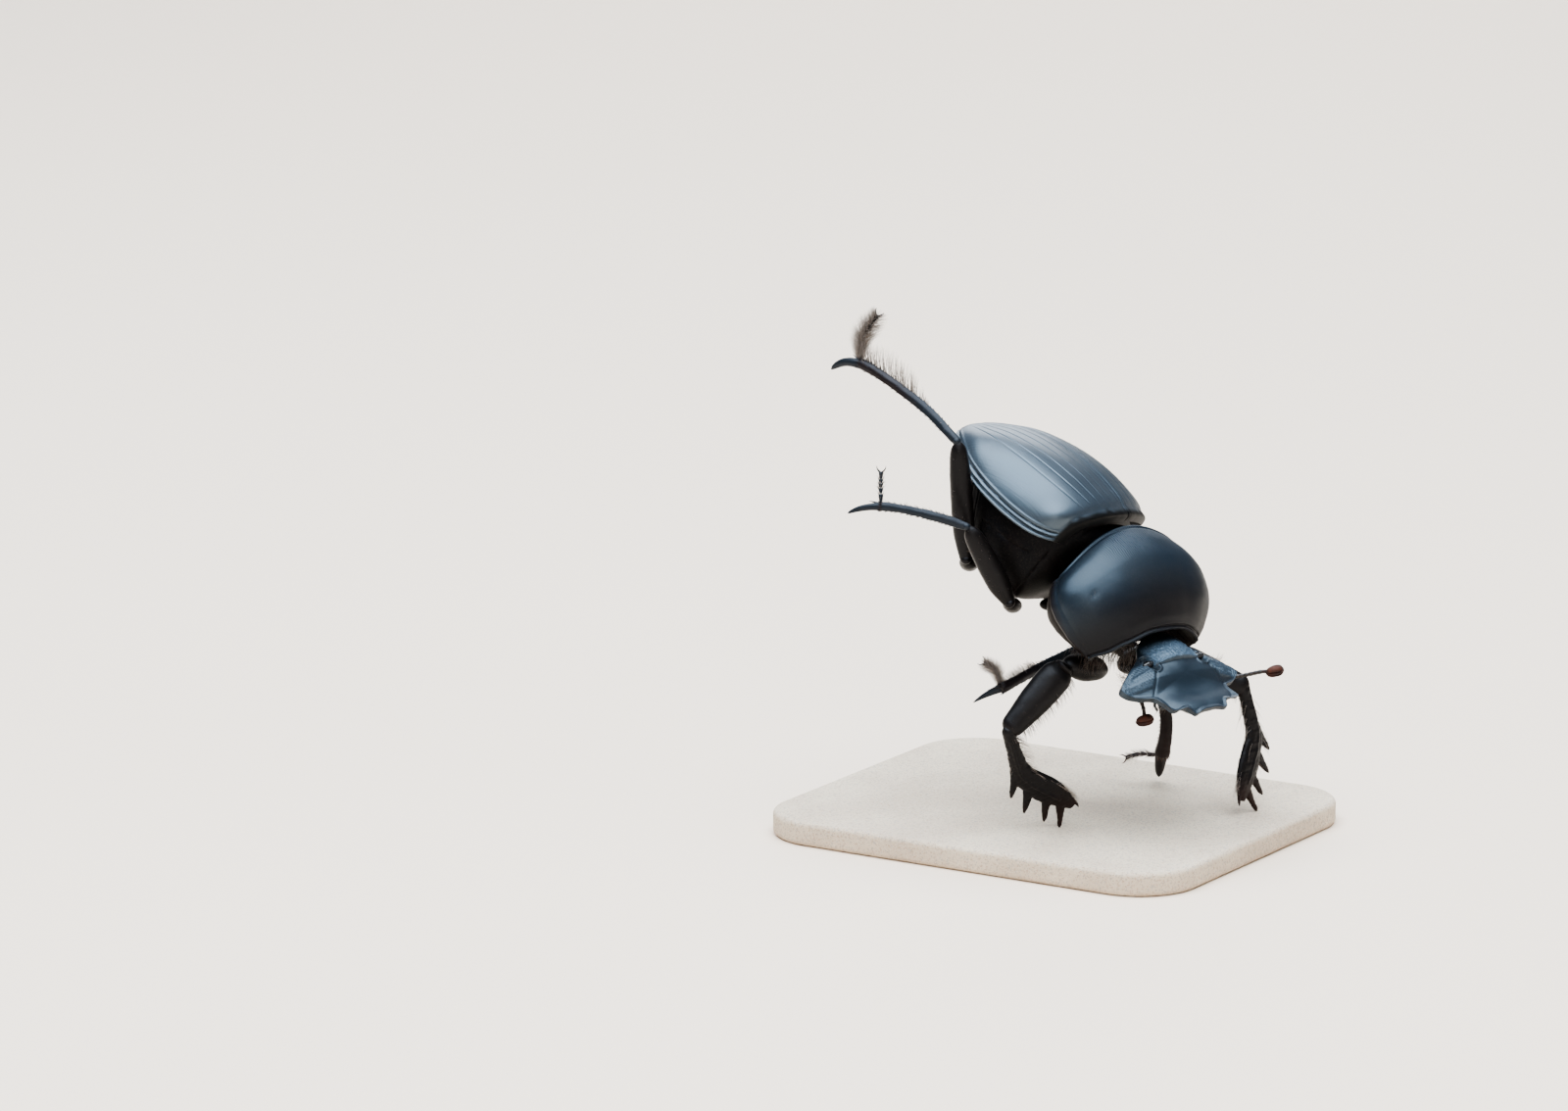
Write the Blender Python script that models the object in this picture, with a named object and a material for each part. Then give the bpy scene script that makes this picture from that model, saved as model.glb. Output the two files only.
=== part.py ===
"""A ball-rolling dung beetle at life size, head down on its fore legs, on a small display base.

Lengths in the tables are millimetres and turn into metres in mesh_from.
The beetle faces +X, its left is +Y, and the middle of the base's underside is the origin.
"""
import bmesh
import bpy
from math import cos, pi, radians, sin
from mathutils import Matrix, Vector

MM = 0.001                 # metres in a millimetre
GAP = 0.3                  # clearance between neighbouring pieces
COLLECTION = "dung_beetle"
CUTTERS = "cutters"

# display base
BASE_LENGTH = 44.0
BASE_WIDTH = 37.0
BASE_HEIGHT = 2.3
BASE_CORNER = 6.0
BASE_EDGE = 0.5
FOOT_LEVEL = BASE_HEIGHT + 0.25

# hind body: length behind the joint, then place and turn of the joint with the prothorax
ELYTRA_LENGTH = 16.6
JOINT = Vector((5.5, -1.0, 27.5))
HIND_TURN = (0.0, 34.5, -14.0)        # yaw, pitch, roll in degrees
PRO_TURN = (-17.0, 46.0, -6.0)
PRO_SHIFT = Vector((0.45, 0.05, -0.35))
HEAD_TURN = (-20.5, 40.0, -1.0)
HEAD_SHIFT = Vector((0.9, 0.41, -0.54))

# elytra: distance behind the joint, half width, crest height, margin height
ELYTRA_TABLE = (
    (0.0, 8.8, 4.0, -0.3),
    (2.0, 9.7, 4.7, -0.9),
    (5.0, 10.2, 5.0, -1.35),
    (9.0, 9.7, 4.6, -1.45),
    (12.0, 8.5, 3.7, -1.3),
    (14.3, 6.7, 2.4, -1.0),
    (15.9, 4.9, 1.2, -0.8),
    (16.6, 3.2, 0.4, -0.8),
)
SHELL = 0.8                # thickness of an elytron
ELYTRA_RINGS = 13
ELYTRA_SIDES = 10

# trunk under the elytra: distance behind the joint, share of the width, keel height
TRUNK_TABLE = (
    (-2.4, 0.60, -3.0),
    (-0.6, 0.70, -3.9),
    (0.3, 0.88, -4.7),
    (2.0, 0.93, -7.0),
    (5.0, 0.96, -7.8),
    (9.0, 0.96, -7.4),
    (12.0, 0.94, -6.7),
    (16.3, 0.86, -6.0),
)
TRUNK_SPLIT = 8.6
TRUNK_LEAN = 0.62          # how far the rear sections lean backwards with height

# prothorax: share of the length, half width, crest, margin, underside, power of the arch
PRO_LENGTH = 10.2
PRO_BASE_BOW = 2.5         # how far the base bends forward at the sides
PRO_BASE_MIDDLE = 0.5      # how far its middle reaches back
PRO_ANGLE = -0.7           # how far the front angles stand forward of the middle
PRO_BREAST = 3.0           # how far the breast ends behind the front margin
PRO_TABLE = (
    (0.0, 8.1, 3.5, -0.8, -4.9, 0.85),
    (0.2, 9.2, 4.18, -1.1, -5.7, 0.85),
    (0.4, 9.5, 4.42, -1.4, -6.0, 0.85),
    (0.7, 8.95, 3.85, -1.75, -5.4, 0.92),
    (0.9, 7.95, 2.75, -2.05, -4.7, 1.25),
    (1.0, 7.2, 1.8, -2.3, -4.3, 1.8),
)
PRO_RINGS = 9
PRO_SIDES = 32

# head: angle from straight ahead, radius of the shield, both about its middle
HEAD_MIDDLE = 4.2
HEAD_OUTLINE = (
    (0.0, 3.5), (13.5, 3.5), (27.0, 3.62), (40.5, 3.92), (49.0, 4.15), (56.0, 4.25), (62.0, 4.7),
    (68.0, 5.2), (75.0, 5.85), (82.0, 6.45), (90.0, 6.9), (96.0, 6.65), (103.0, 6.0), (112.0, 5.2),
    (121.0, 4.7), (133.0, 4.5), (146.0, 4.8), (162.0, 5.2), (180.0, 5.3),
)
HEAD_SKEW = 0.055          # share by which the left cheek is broader and the right one narrower
HEAD_TEETH = ((13.5, 0.5), (40.5, 0.65))     # angle, height
TOOTH_SPREAD = 9.0
HEAD_DOME = 1.6
HEAD_RIM = 0.55
HEAD_POINTS = 80
EYE_PLACE = (2.4, 3.2, 0.7)
EYE_SIZE = (0.42, 0.8, 0.5)

# fore tibia: outline of the toothed blade, knee at 0, last tooth at the end
BLADE_OUTLINE = (
    (0.0, 0.6), (1.5, 0.95), (3.2, 1.5), (4.9, 2.1), (6.4, 2.46), (5.95, 1.3), (8.5, 2.04), (7.2, 0.3),
    (10.3, 0.73), (9.1, -0.85), (11.6, -0.3), (10.1, -1.6), (10.1, -2.3), (8.9, -2.75), (7.6, -2.45),
    (6.2, -1.8), (4.6, -1.35), (3.0, -0.6), (1.5, -0.6), (0.0, -0.65),
)
BLADE_REACH = 11.4         # from the start of the outline to the leg's tip
BLADE_THICKNESS = 1.1
BLADE_EDGE = 0.2

# fore legs: coxa and hip in the frame of the prothorax, the rest in the frame of the base
FORE_LEGS = {
    "right": {"coxa": (8.7, -1.2, -6.4), "hip": (8.0, -6.4, -5.7), "knee": (2.75, -13.0, 12.5),
              "tip": (4.57, -7.76, 2.9), "face": (0.516, -0.826, 0.225), "outer": -1.0},
    "left": {"coxa": (8.7, 1.2, -6.4), "hip": (8.0, 6.4, -5.7), "knee": (15.8, 7.3, 13.9),
             "tip": (17.4, 7.6, 2.55), "face": (0.98, -0.18, 0.05), "outer": 1.0},
}
# middle and hind legs: coxa and hip in the frame of the hind body, the rest in the frame of the base
LONG_LEGS = {
    "mid_right": {
        "coxa": (-2.2, -3.4, -8.9), "hip": (-1.4, -7.3, -8.0), "knee": (-1.42, -13.6, 31.0),
        "bend": ((-4.6, -15.0, 32.0),), "apex": (-8.96, -16.5, 32.6), "spur": (-11.9, -17.5, 31.8),
        "tarsus": ((-9.3, -16.0, 34.4), (-9.5, -15.6, 35.6)), "thick": (1.05, 0.38, 0.42), "joint": 0.5},
    "mid_left": {
        "coxa": (-2.2, 3.4, -8.9), "hip": (-1.4, 7.0, -7.9), "knee": (6.6, 7.6, 13.9),
        "bend": ((6.4, 9.5, 8.9),), "apex": (5.2, 10.9, 5.2), "spur": (4.3, 11.9, 2.8),
        "tarsus": ((3.2, 10.2, 5.2), (1.8, 10.0, 4.7)), "thick": (1.05, 0.5, 0.72), "joint": 0.55},
    "hind_right": {
        "coxa": (-7.8, -3.4, -8.8), "hip": (-7.2, -7.5, -7.8), "knee": (-3.8, -11.5, 38.2),
        "bend": ((-8.2, -10.8, 41.1),), "apex": (-14.9, -10.5, 44.2), "spur": (-18.0, -10.5, 43.3),
        "tarsus": ((-14.9, -10.0, 46.4), (-13.6, -9.6, 48.7)), "thick": (1.0, 0.42, 0.62), "joint": 0.55},
    "hind_left": {
        "coxa": (-7.8, 3.4, -8.8), "hip": (-7.2, 7.0, -7.7), "knee": (-0.14, 7.0, 16.2),
        "bend": ((-2.2, 1.0, 14.75),), "apex": (-2.9, -5.0, 13.9), "spur": (-5.63, -5.5, 12.3),
        "tarsus": ((-3.9, -4.4, 15.3), (-5.2, -4.3, 15.9)), "thick": (1.0, 0.42, 0.62), "joint": 0.8},
}
# feelers in the frame of the head: path of the stem, middle of the club and the way of its long side
FEELERS = {
    "right": {"stem": ((4.03, -3.45, -2.3), (4.65, -3.39, -2.55), (5.03, -3.41, -2.71)),
              "club": (5.77, -3.46, -3.26), "along": (0.25, 0.79, 0.56)},
    "left": {"stem": ((3.1, 5.45, -2.26), (3.95, 7.8, -1.5), (4.93, 9.35, 0.09)),
             "club": (5.44, 10.26, 0.58), "along": (0.25, 0.78, 0.54)},
}
CLUB_SIZE = (0.85, 0.5, 0.55)
LIMB_SIDES = 10

MATERIALS = {
    "shell_black": ((0.012, 0.013, 0.016, 1.0), 0.34, 0.0),
    "leg_dark": ((0.030, 0.016, 0.010, 1.0), 0.38, 0.0),
    "feeler_brown": ((0.23, 0.07, 0.02, 1.0), 0.5, 0.0),
    "eye_gloss": ((0.02, 0.014, 0.01, 1.0), 0.12, 0.0),
    "base_sand": ((0.55, 0.47, 0.36, 1.0), 0.75, 0.0),
}


def turn(angles):
    yaw, pitch, roll = (radians(a) for a in angles)
    return Matrix.Rotation(yaw, 3, "Z") @ Matrix.Rotation(pitch, 3, "Y") @ Matrix.Rotation(roll, 3, "X")


def frame(angles, place):
    return Matrix.Translation(place) @ turn(angles).to_4x4()


HIND = frame(HIND_TURN, JOINT)
PRO = frame(PRO_TURN, JOINT + PRO_SHIFT)
NECK = PRO @ Vector((9.0, 0.0, -1.0))
HEAD = frame(HEAD_TURN, NECK + HEAD_SHIFT)


def look_up(table, x):
    """Values of the table's columns at x, along a smooth curve through its rows."""
    rows = [row for row in table]
    if x <= rows[0][0]:
        return rows[0][1:]
    if x >= rows[-1][0]:
        return rows[-1][1:]
    i = max(k for k in range(len(rows) - 1) if rows[k][0] <= x)
    low, high = rows[i], rows[i + 1]
    before = rows[i - 1] if i else low
    after = rows[i + 2] if i + 2 < len(rows) else high
    span = high[0] - low[0]
    t = (x - low[0]) / span
    result = []
    for c in range(1, len(low)):
        slope_in = (high[c] - before[c]) / (high[0] - before[0]) * span
        slope_out = (after[c] - low[c]) / (after[0] - low[0]) * span
        result.append((2 * t**3 - 3 * t**2 + 1) * low[c] + (t**3 - 2 * t**2 + t) * slope_in
                      + (3 * t**2 - 2 * t**3) * high[c] + (t**3 - t**2) * slope_out)
    return result


def clear_scene():
    for item in list(bpy.data.objects):
        bpy.data.objects.remove(item, do_unlink=True)
    for group in list(bpy.data.collections):
        bpy.data.collections.remove(group)


def material(name):
    made = bpy.data.materials.get(name)
    if made:
        return made
    colour, roughness, metallic = MATERIALS[name]
    made = bpy.data.materials.new(name)
    made.use_nodes = True
    shader = made.node_tree.nodes["Principled BSDF"]
    shader.inputs["Base Color"].default_value = colour
    shader.inputs["Roughness"].default_value = roughness
    shader.inputs["Metallic"].default_value = metallic
    made.diffuse_color = colour
    return made


def mesh_from(bm, name, look, place=Matrix.Identity(4)):
    """Turn a bmesh in millimetres into a named object in metres."""
    bmesh.ops.transform(bm, matrix=Matrix.Scale(MM, 4) @ place, verts=bm.verts)
    bmesh.ops.recalc_face_normals(bm, faces=bm.faces)
    bmesh.ops.triangulate(bm, faces=bm.faces)
    mesh = bpy.data.meshes.new(name)
    bm.to_mesh(mesh)
    bm.free()
    mesh.materials.append(material(look))
    made = bpy.data.objects.new(name, mesh)
    bpy.data.collections[COLLECTION].objects.link(made)
    return made


def loft(rings, shell=False):
    """Join rings of equal count with quads and close both ends.

    A shell's ring runs out along its outside and back along its inside, so its ends close as a strip.
    """
    bm = bmesh.new()
    loops = [[bm.verts.new(p) for p in ring] for ring in rings]
    for low, high in zip(loops, loops[1:]):
        for i in range(len(low)):
            j = (i + 1) % len(low)
            bm.faces.new((low[i], low[j], high[j], high[i]))
    for loop in (loops[0], loops[-1]):
        count = len(loop)
        if shell:
            for i in range(count // 2 - 1):
                bm.faces.new((loop[i], loop[i + 1], loop[count - 2 - i], loop[count - 1 - i]))
            continue
        middle = bm.verts.new(sum((v.co for v in loop), Vector()) / count)
        for i in range(count):
            bm.faces.new((loop[i], loop[(i + 1) % count], middle))
    return bm


def ellipsoid(name, look, size, place):
    bm = bmesh.new()
    bmesh.ops.create_uvsphere(bm, u_segments=14, v_segments=8, radius=1.0)
    bmesh.ops.scale(bm, vec=size, verts=bm.verts)
    return mesh_from(bm, name, look, place)


def elytron_point(x, a, depth):
    """Point on the left elytron: x behind the joint, a from suture to margin, depth under the outside."""
    width, crest, margin = look_up(ELYTRA_TABLE, x)
    w, h = width - depth, crest - margin - depth
    y = GAP / 2 + (w - GAP / 2) * sin(a) ** 0.85
    z = margin + max(h, 0.15) * cos(a) ** 0.75
    near_base = max(0.0, 1.0 - x / 3.0)
    back = 0.4 - 0.5 * near_base + 1.2 * (y / width) ** 3 * near_base
    return Vector((-x - back, y, z))


def elytron(side, sign):
    rings = []
    for k in range(ELYTRA_RINGS):
        x = ELYTRA_LENGTH * sin(0.5 * pi * k / (ELYTRA_RINGS - 1))
        steps = [0.5 * pi * i / (ELYTRA_SIDES - 1) for i in range(ELYTRA_SIDES)]
        ring = [elytron_point(x, a, 0.0) for a in steps]
        ring += [elytron_point(x, a, SHELL) for a in reversed(steps)]
        rings.append([Vector((p.x, sign * p.y, p.z)) for p in ring])
    return mesh_from(loft(rings, shell=True), "elytron_" + side, "shell_black", HIND)


def trunk_ring(x):
    """Section of the trunk, under the elytra's inside and down to the keel."""
    share, keel = look_up(TRUNK_TABLE, x)
    width, crest, margin = look_up(ELYTRA_TABLE, max(x, 0.0))
    top = max(crest - SHELL - GAP - 0.2, margin + 0.3)
    if x < 0.3:
        top = 1.7 if x < -1.0 else 2.2
    w = (width - SHELL - 1.6 * GAP) * share
    ring = []
    for i in range(24):
        a = 2 * pi * i / 24
        y = w * abs(cos(a)) ** 0.8 * (1 if cos(a) >= 0 else -1)
        if sin(a) >= 0:
            z = margin + (top - margin) * sin(a) ** 0.9
        else:
            y = w * abs(cos(a)) ** 0.55 * (1 if cos(a) >= 0 else -1)
            z = margin + (keel - margin) * (-sin(a)) ** 0.85
        lean = TRUNK_LEAN * max(0.0, min(1.0, (x - 4.0) / 8.0))
        ring.append(Vector((-x - 0.4 - lean * (z - margin) * (z < margin), y, z)))
    return ring


def trunk():
    front = [-2.4, -1.2, -0.3, 0.5, 1.7, 3.4, 6.0, TRUNK_SPLIT]
    mesh_from(loft([trunk_ring(x) for x in front]), "rear_thorax", "shell_black", HIND)
    rear = [TRUNK_SPLIT + 2 * GAP, 10.4, 11.9, 13.3, 14.5]
    mesh_from(loft([trunk_ring(x) for x in rear]), "abdomen", "shell_black", HIND)
    plate = []
    last = trunk_ring(14.5)
    middle = sum(last, Vector()) / len(last)
    for back, share in ((GAP, 0.88), (GAP + 0.35, 0.90), (GAP + 0.9, 0.76), (GAP + 1.15, 0.45)):
        plate.append([middle + (p - middle) * share - Vector((back, 0, 0)) for p in last])
    mesh_from(loft(plate), "pygidium", "shell_black", HIND)


def prothorax_point(t, k):
    """Point k of PRO_SIDES round the section at share t of the length."""
    width, crest, margin, keel, power = look_up(PRO_TABLE, t)
    a = 2 * pi * k / PRO_SIDES
    across = abs(cos(a)) * (1 if cos(a) >= 0 else -1)
    if sin(a) >= -1e-9:
        y, z, low = width * across, margin + (crest - margin) * max(0.0, sin(a)) ** power, 0.0
    else:
        low = -sin(a)
        y = 0.95 * width * abs(across) ** 1.3 * (1 if across >= 0 else -1)
        z = margin - 0.35 + (keel - margin + 0.35) * low
    side = min(1.0, abs(y) / width)
    back = PRO_BASE_BOW * side ** 2.0 - PRO_BASE_MIDDLE * (1.0 - low) + 0.8 * low
    front = PRO_LENGTH + PRO_ANGLE * side ** 2.5 - PRO_BREAST * low
    return Vector((back + t * (front - back), y, z))


def prothorax():
    rings = [[prothorax_point(i / (PRO_RINGS - 1), k) for k in range(PRO_SIDES)] for i in range(PRO_RINGS)]

    def inside(ring, share, along):
        middle = sum(ring, Vector()) / len(ring)
        drawn = [middle + (p - middle) * share for p in ring]
        return [Vector((p.x + along, q.y, q.z)) for p, q in zip(ring, drawn)]
    first, last = rings[0], rings[-1]
    rings = ([inside(first, 0.88, 3.4), inside(first, 0.93, 0.15)] + rings
             + [inside(last, 0.86, -0.25), inside(last, 0.72, -2.4)])
    mesh_from(loft(rings), "prothorax", "shell_black", PRO)


def head_radius(angle):
    """Radius of the head shield at an angle in degrees from straight ahead."""
    sign = 1.0 if angle < 180.0 else -1.0
    angle = abs((angle + 180.0) % 360.0 - 180.0)
    radius = look_up(HEAD_OUTLINE, angle)[0]
    radius *= 1.0 + sign * HEAD_SKEW * max(0.0, 1.0 - ((angle - 80.0) / 32.0) ** 2.0)
    for middle, height in HEAD_TEETH:
        radius += height * max(0.0, 1.0 - abs(angle - middle) / TOOTH_SPREAD)
    return radius


def head_point(angle, share, top):
    radius = head_radius(angle) * share
    x = HEAD_MIDDLE + radius * cos(radians(angle))
    y = radius * sin(radians(angle))
    rear = max(0.0, min(1.0, (6.0 - x) / 5.0))
    if top:
        return Vector((x, y, HEAD_DOME * (1.0 - share ** 2.0) * (0.75 + 0.25 * rear)))
    return Vector((x, y, -HEAD_RIM - (1.0 - share ** 2.2) * (0.9 + 1.7 * rear)))


def socket(target, side, place):
    """Room for an eye, cut from the head with the usual clearance."""
    bm = bmesh.new()
    bmesh.ops.create_uvsphere(bm, u_segments=12, v_segments=7, radius=1.0)
    bmesh.ops.scale(bm, vec=[s + GAP for s in EYE_SIZE], verts=bm.verts)
    cutter = mesh_from(bm, "eye_socket_" + side, "shell_black", place)
    bpy.data.collections[COLLECTION].objects.unlink(cutter)
    bpy.data.collections[CUTTERS].objects.link(cutter)
    cutter.hide_render = True
    cutter.display_type = "WIRE"
    cut = target.modifiers.new("socket_" + side, "BOOLEAN")
    cut.operation = "DIFFERENCE"
    cut.solver = "EXACT"
    cut.object = cutter


def head():
    bm = bmesh.new()
    shares = (0.35, 0.62, 0.82, 0.94, 1.0)
    order = [(s, True) for s in shares] + [(s, False) for s in reversed(shares)]
    loops = [[bm.verts.new(head_point(360.0 * k / HEAD_POINTS, s, top)) for k in range(HEAD_POINTS)]
             for s, top in order]
    for low, high in zip(loops, loops[1:]):
        for i in range(HEAD_POINTS):
            j = (i + 1) % HEAD_POINTS
            bm.faces.new((low[i], low[j], high[j], high[i]))
    for loop, top in ((loops[0], True), (loops[-1], False)):
        middle = bm.verts.new(head_point(0.0, 0.0, top))
        for i in range(HEAD_POINTS):
            bm.faces.new((loop[i], loop[(i + 1) % HEAD_POINTS], middle))
    return mesh_from(bm, "head", "shell_black", HEAD)


def smooth_path(points, steps):
    """Catmull-Rom curve through the points."""
    points = [Vector(p) for p in points]
    ends = [2 * points[0] - points[1]] + points + [2 * points[-1] - points[-2]]
    path = []
    for i in range(1, len(ends) - 2):
        a, b, c, d = ends[i - 1:i + 3]
        for k in range(steps):
            t = k / steps
            path.append(0.5 * (2 * b + (c - a) * t + (2 * a - 5 * b + 4 * c - d) * t**2
                               + (3 * b - a - 3 * c + d) * t**3))
    return path + [points[-1]]


def limb(name, look, points, radii, flat=1.0, steps=3, face=(0.516, -0.826, 0.225)):
    """Tapering rod along a smooth path: radii are (share of length, radius), flat squeezes it along face."""
    path = smooth_path(points, steps)
    rings = []
    for i, p in enumerate(path):
        along = (path[min(i + 1, len(path) - 1)] - path[max(i - 1, 0)]).normalized()
        side = along.cross(Vector(face)).normalized()
        other = along.cross(side)
        radius = look_up(radii, i / (len(path) - 1))[0]
        ring = []
        for k in range(LIMB_SIDES):
            a = 2 * pi * k / LIMB_SIDES
            ring.append(p + side * radius * cos(a) + other * radius * flat * sin(a))
        rings.append(ring)
    return mesh_from(loft(rings), name, look)


def short_of(start, end, first, last):
    """The two ends of a segment drawn in by the given lengths."""
    start, end = Vector(start), Vector(end)
    along = (end - start).normalized()
    return start + along * first, end - along * last


def blade(name, knee, tip, face, outer):
    """Toothed fore tibia: the outline extruded both ways with its edges drawn in."""
    along = (Vector(tip) - Vector(knee)).normalized()
    normal = (Vector(face) - along * along.dot(Vector(face))).normalized()
    across = normal.cross(along) * outer
    count = len(BLADE_OUTLINE)
    drawn_in = []
    for i in range(count):
        before, here, after = (Vector(BLADE_OUTLINE[(i + k) % count]) for k in (-1, 0, 1))
        first, second = (here - before).normalized(), (after - here).normalized()
        inward = Vector((first.y + second.y, -first.x - second.x))
        inward = inward.normalized() if inward.length > 1e-6 else Vector((0, 0))
        drawn_in.append(here + inward * BLADE_EDGE)
    half = BLADE_THICKNESS / 2
    root = Vector(tip) - along * BLADE_REACH
    lowest = min((root + along * x + across * y).z for x, y in BLADE_OUTLINE) - abs(normal.z) * half
    root.z += FOOT_LEVEL - lowest
    rings = []
    for outline, height in ((drawn_in, -half), (BLADE_OUTLINE, -half + BLADE_EDGE),
                            (BLADE_OUTLINE, half - BLADE_EDGE), (drawn_in, half)):
        rings.append([root + along * p[0] + across * p[1] + normal * height for p in outline])
    bm = bmesh.new()
    loops = [[bm.verts.new(p) for p in ring] for ring in rings]
    for low, high in zip(loops, loops[1:]):
        for i in range(count):
            j = (i + 1) % count
            bm.faces.new((low[i], low[j], high[j], high[i]))
    bm.faces.new(loops[0])
    bm.faces.new(loops[-1])
    return mesh_from(bm, name, "leg_dark")


def coxa(name, inner, outer, thick):
    inner, outer = Vector(inner), Vector(outer)
    along = (outer - inner).normalized()
    turned = along.to_track_quat("X", "Z").to_matrix().to_4x4()
    half = (outer - inner).length / 2
    ellipsoid(name, "leg_dark", (half, thick, thick * 0.8), Matrix.Translation((inner + outer) / 2) @ turned)


def fore_leg(side, spec):
    hip = PRO @ Vector(spec["hip"])
    coxa("fore_coxa_" + side, PRO @ Vector(spec["coxa"]), hip, 1.55)
    start, end = short_of(hip, spec["knee"], 0.7, 1.05)
    limb("fore_femur_" + side, "leg_dark", (start, (start + end) / 2, end),
         ((0.0, 1.15), (0.12, 1.5), (0.5, 1.45), (0.85, 1.25), (1.0, 0.95)), 0.7, 4)
    blade("fore_tibia_" + side, spec["knee"], spec["tip"], spec["face"], spec["outer"])


def long_leg(name, spec):
    part, side = name.split("_")
    thick, thin, end_thick = spec["thick"]
    hip = HIND @ Vector(spec["hip"])
    coxa(part + "_coxa_" + side, HIND @ Vector(spec["coxa"]), hip, 1.0)
    start, end = short_of(hip, spec["knee"], 0.6, spec["joint"])
    limb(part + "_femur_" + side, "leg_dark", (start, (start + end) / 2, end),
         ((0.0, 0.6), (0.2, thick * 0.95), (0.5, thick), (0.85, 0.9), (1.0, 0.65)), 0.8, 3)
    first = spec["bend"][0]
    knee = short_of(spec["knee"], first, spec["joint"] + 0.1, 0.0)[0]
    limb(part + "_tibia_" + side, "leg_dark", (knee,) + spec["bend"] + (spec["apex"], spec["spur"]),
         ((0.0, thin), (0.3, thin * 1.15), (0.62, end_thick), (0.68, end_thick), (0.78, 0.4), (1.0, 0.25)),
         0.85, 3)
    root = Vector(spec["apex"])
    toward = Vector(spec["tarsus"][0])
    first = root + (toward - root).normalized() * (end_thick + 1.8 * GAP)
    limb(part + "_tarsus_" + side, "leg_dark", (first,) + spec["tarsus"],
         ((0.0, 0.3), (0.5, 0.36), (1.0, 0.28)), 1.0, 3)


def feeler(side):
    spec = FEELERS[side]
    stem = [HEAD @ Vector(p) for p in spec["stem"]]
    limb("antenna_stem_" + side, "feeler_brown", stem, ((0.0, 0.32), (0.5, 0.27), (1.0, 0.3)))
    along = HEAD.to_3x3() @ Vector(spec["along"])
    turned = along.to_track_quat("X", "Z").to_matrix().to_4x4()
    place = Matrix.Translation(HEAD @ Vector(spec["club"])) @ turned
    ellipsoid("antenna_club_" + side, "feeler_brown", CLUB_SIZE, place)


def base():
    bm = bmesh.new()
    rings = []
    corners = ((1, 1), (-1, 1), (-1, -1), (1, -1))
    for inset, height in ((BASE_EDGE, 0.0), (0.0, BASE_EDGE), (0.0, BASE_HEIGHT - BASE_EDGE),
                          (BASE_EDGE, BASE_HEIGHT)):
        ring = []
        for c, (sx, sy) in enumerate(corners):
            for k in range(7):
                a = 0.5 * pi * (c + k / 6)
                radius = BASE_CORNER - inset
                ring.append(Vector((sx * (BASE_LENGTH / 2 - BASE_CORNER) + radius * cos(a),
                                    sy * (BASE_WIDTH / 2 - BASE_CORNER) + radius * sin(a), height)))
        rings.append(ring)
    bm.free()
    mesh_from(loft(rings), "stand_base", "base_sand")


def build():
    clear_scene()
    for group in (COLLECTION, CUTTERS):
        bpy.context.scene.collection.children.link(bpy.data.collections.new(group))
    base()
    skull = head()
    for side, sign in (("left", 1), ("right", -1)):
        elytron(side, sign)
        x, y, z = EYE_PLACE
        place = HEAD @ Matrix.Translation((x, sign * y, z)) @ Matrix.Rotation(sign * radians(-12), 4, "Z")
        ellipsoid("eye_" + side, "eye_gloss", EYE_SIZE, place)
        socket(skull, side, place)
        feeler(side)
        fore_leg(side, FORE_LEGS[side])
    trunk()
    prothorax()
    for name, spec in LONG_LEGS.items():
        long_leg(name, spec)


build()
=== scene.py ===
import math

import bpy
import numpy as np
from mathutils import Matrix, Vector


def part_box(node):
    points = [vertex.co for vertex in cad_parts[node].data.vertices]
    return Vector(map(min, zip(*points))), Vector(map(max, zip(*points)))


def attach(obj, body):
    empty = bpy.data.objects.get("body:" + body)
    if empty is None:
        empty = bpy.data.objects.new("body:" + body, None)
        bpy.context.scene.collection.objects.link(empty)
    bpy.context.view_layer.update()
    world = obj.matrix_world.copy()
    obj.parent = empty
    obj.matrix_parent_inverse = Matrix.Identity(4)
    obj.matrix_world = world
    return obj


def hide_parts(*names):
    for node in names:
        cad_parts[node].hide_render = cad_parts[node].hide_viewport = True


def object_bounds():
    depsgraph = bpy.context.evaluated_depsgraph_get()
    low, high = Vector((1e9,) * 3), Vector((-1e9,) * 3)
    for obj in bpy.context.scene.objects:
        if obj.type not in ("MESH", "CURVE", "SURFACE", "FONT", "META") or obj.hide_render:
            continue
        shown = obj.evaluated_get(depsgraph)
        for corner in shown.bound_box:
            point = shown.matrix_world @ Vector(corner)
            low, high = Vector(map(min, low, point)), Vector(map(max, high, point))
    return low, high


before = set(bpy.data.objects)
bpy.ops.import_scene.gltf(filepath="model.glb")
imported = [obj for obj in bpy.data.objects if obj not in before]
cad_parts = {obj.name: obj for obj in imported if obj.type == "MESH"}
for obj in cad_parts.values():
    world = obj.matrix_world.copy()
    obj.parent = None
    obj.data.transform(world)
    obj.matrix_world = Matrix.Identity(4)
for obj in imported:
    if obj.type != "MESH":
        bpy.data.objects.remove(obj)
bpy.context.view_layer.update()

# Dung beetle on its display base. Lengths are millimetres until a piece is made.
millimetre = 0.001
legFace = (0.516, -0.826, 0.225)           # the way the broad sides of the legs look
hairDraw = np.random.default_rng(87)       # random draws for the bristles

stance = {  # yaw, pitch, roll in degrees, then the place of each body region
    "hind": ((0.0, 34.5, -14.0), (5.5, -1.0, 27.5)),
    "front": ((-17.0, 46.0, -6.0), (5.95, -0.95, 27.15)),
    "neck": (9.0, 0.0, -1.0),              # in the frame of the prothorax
    "head": ((-20.5, 40.0, -1.0), (0.9, 0.41, -0.54)),
}


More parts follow.
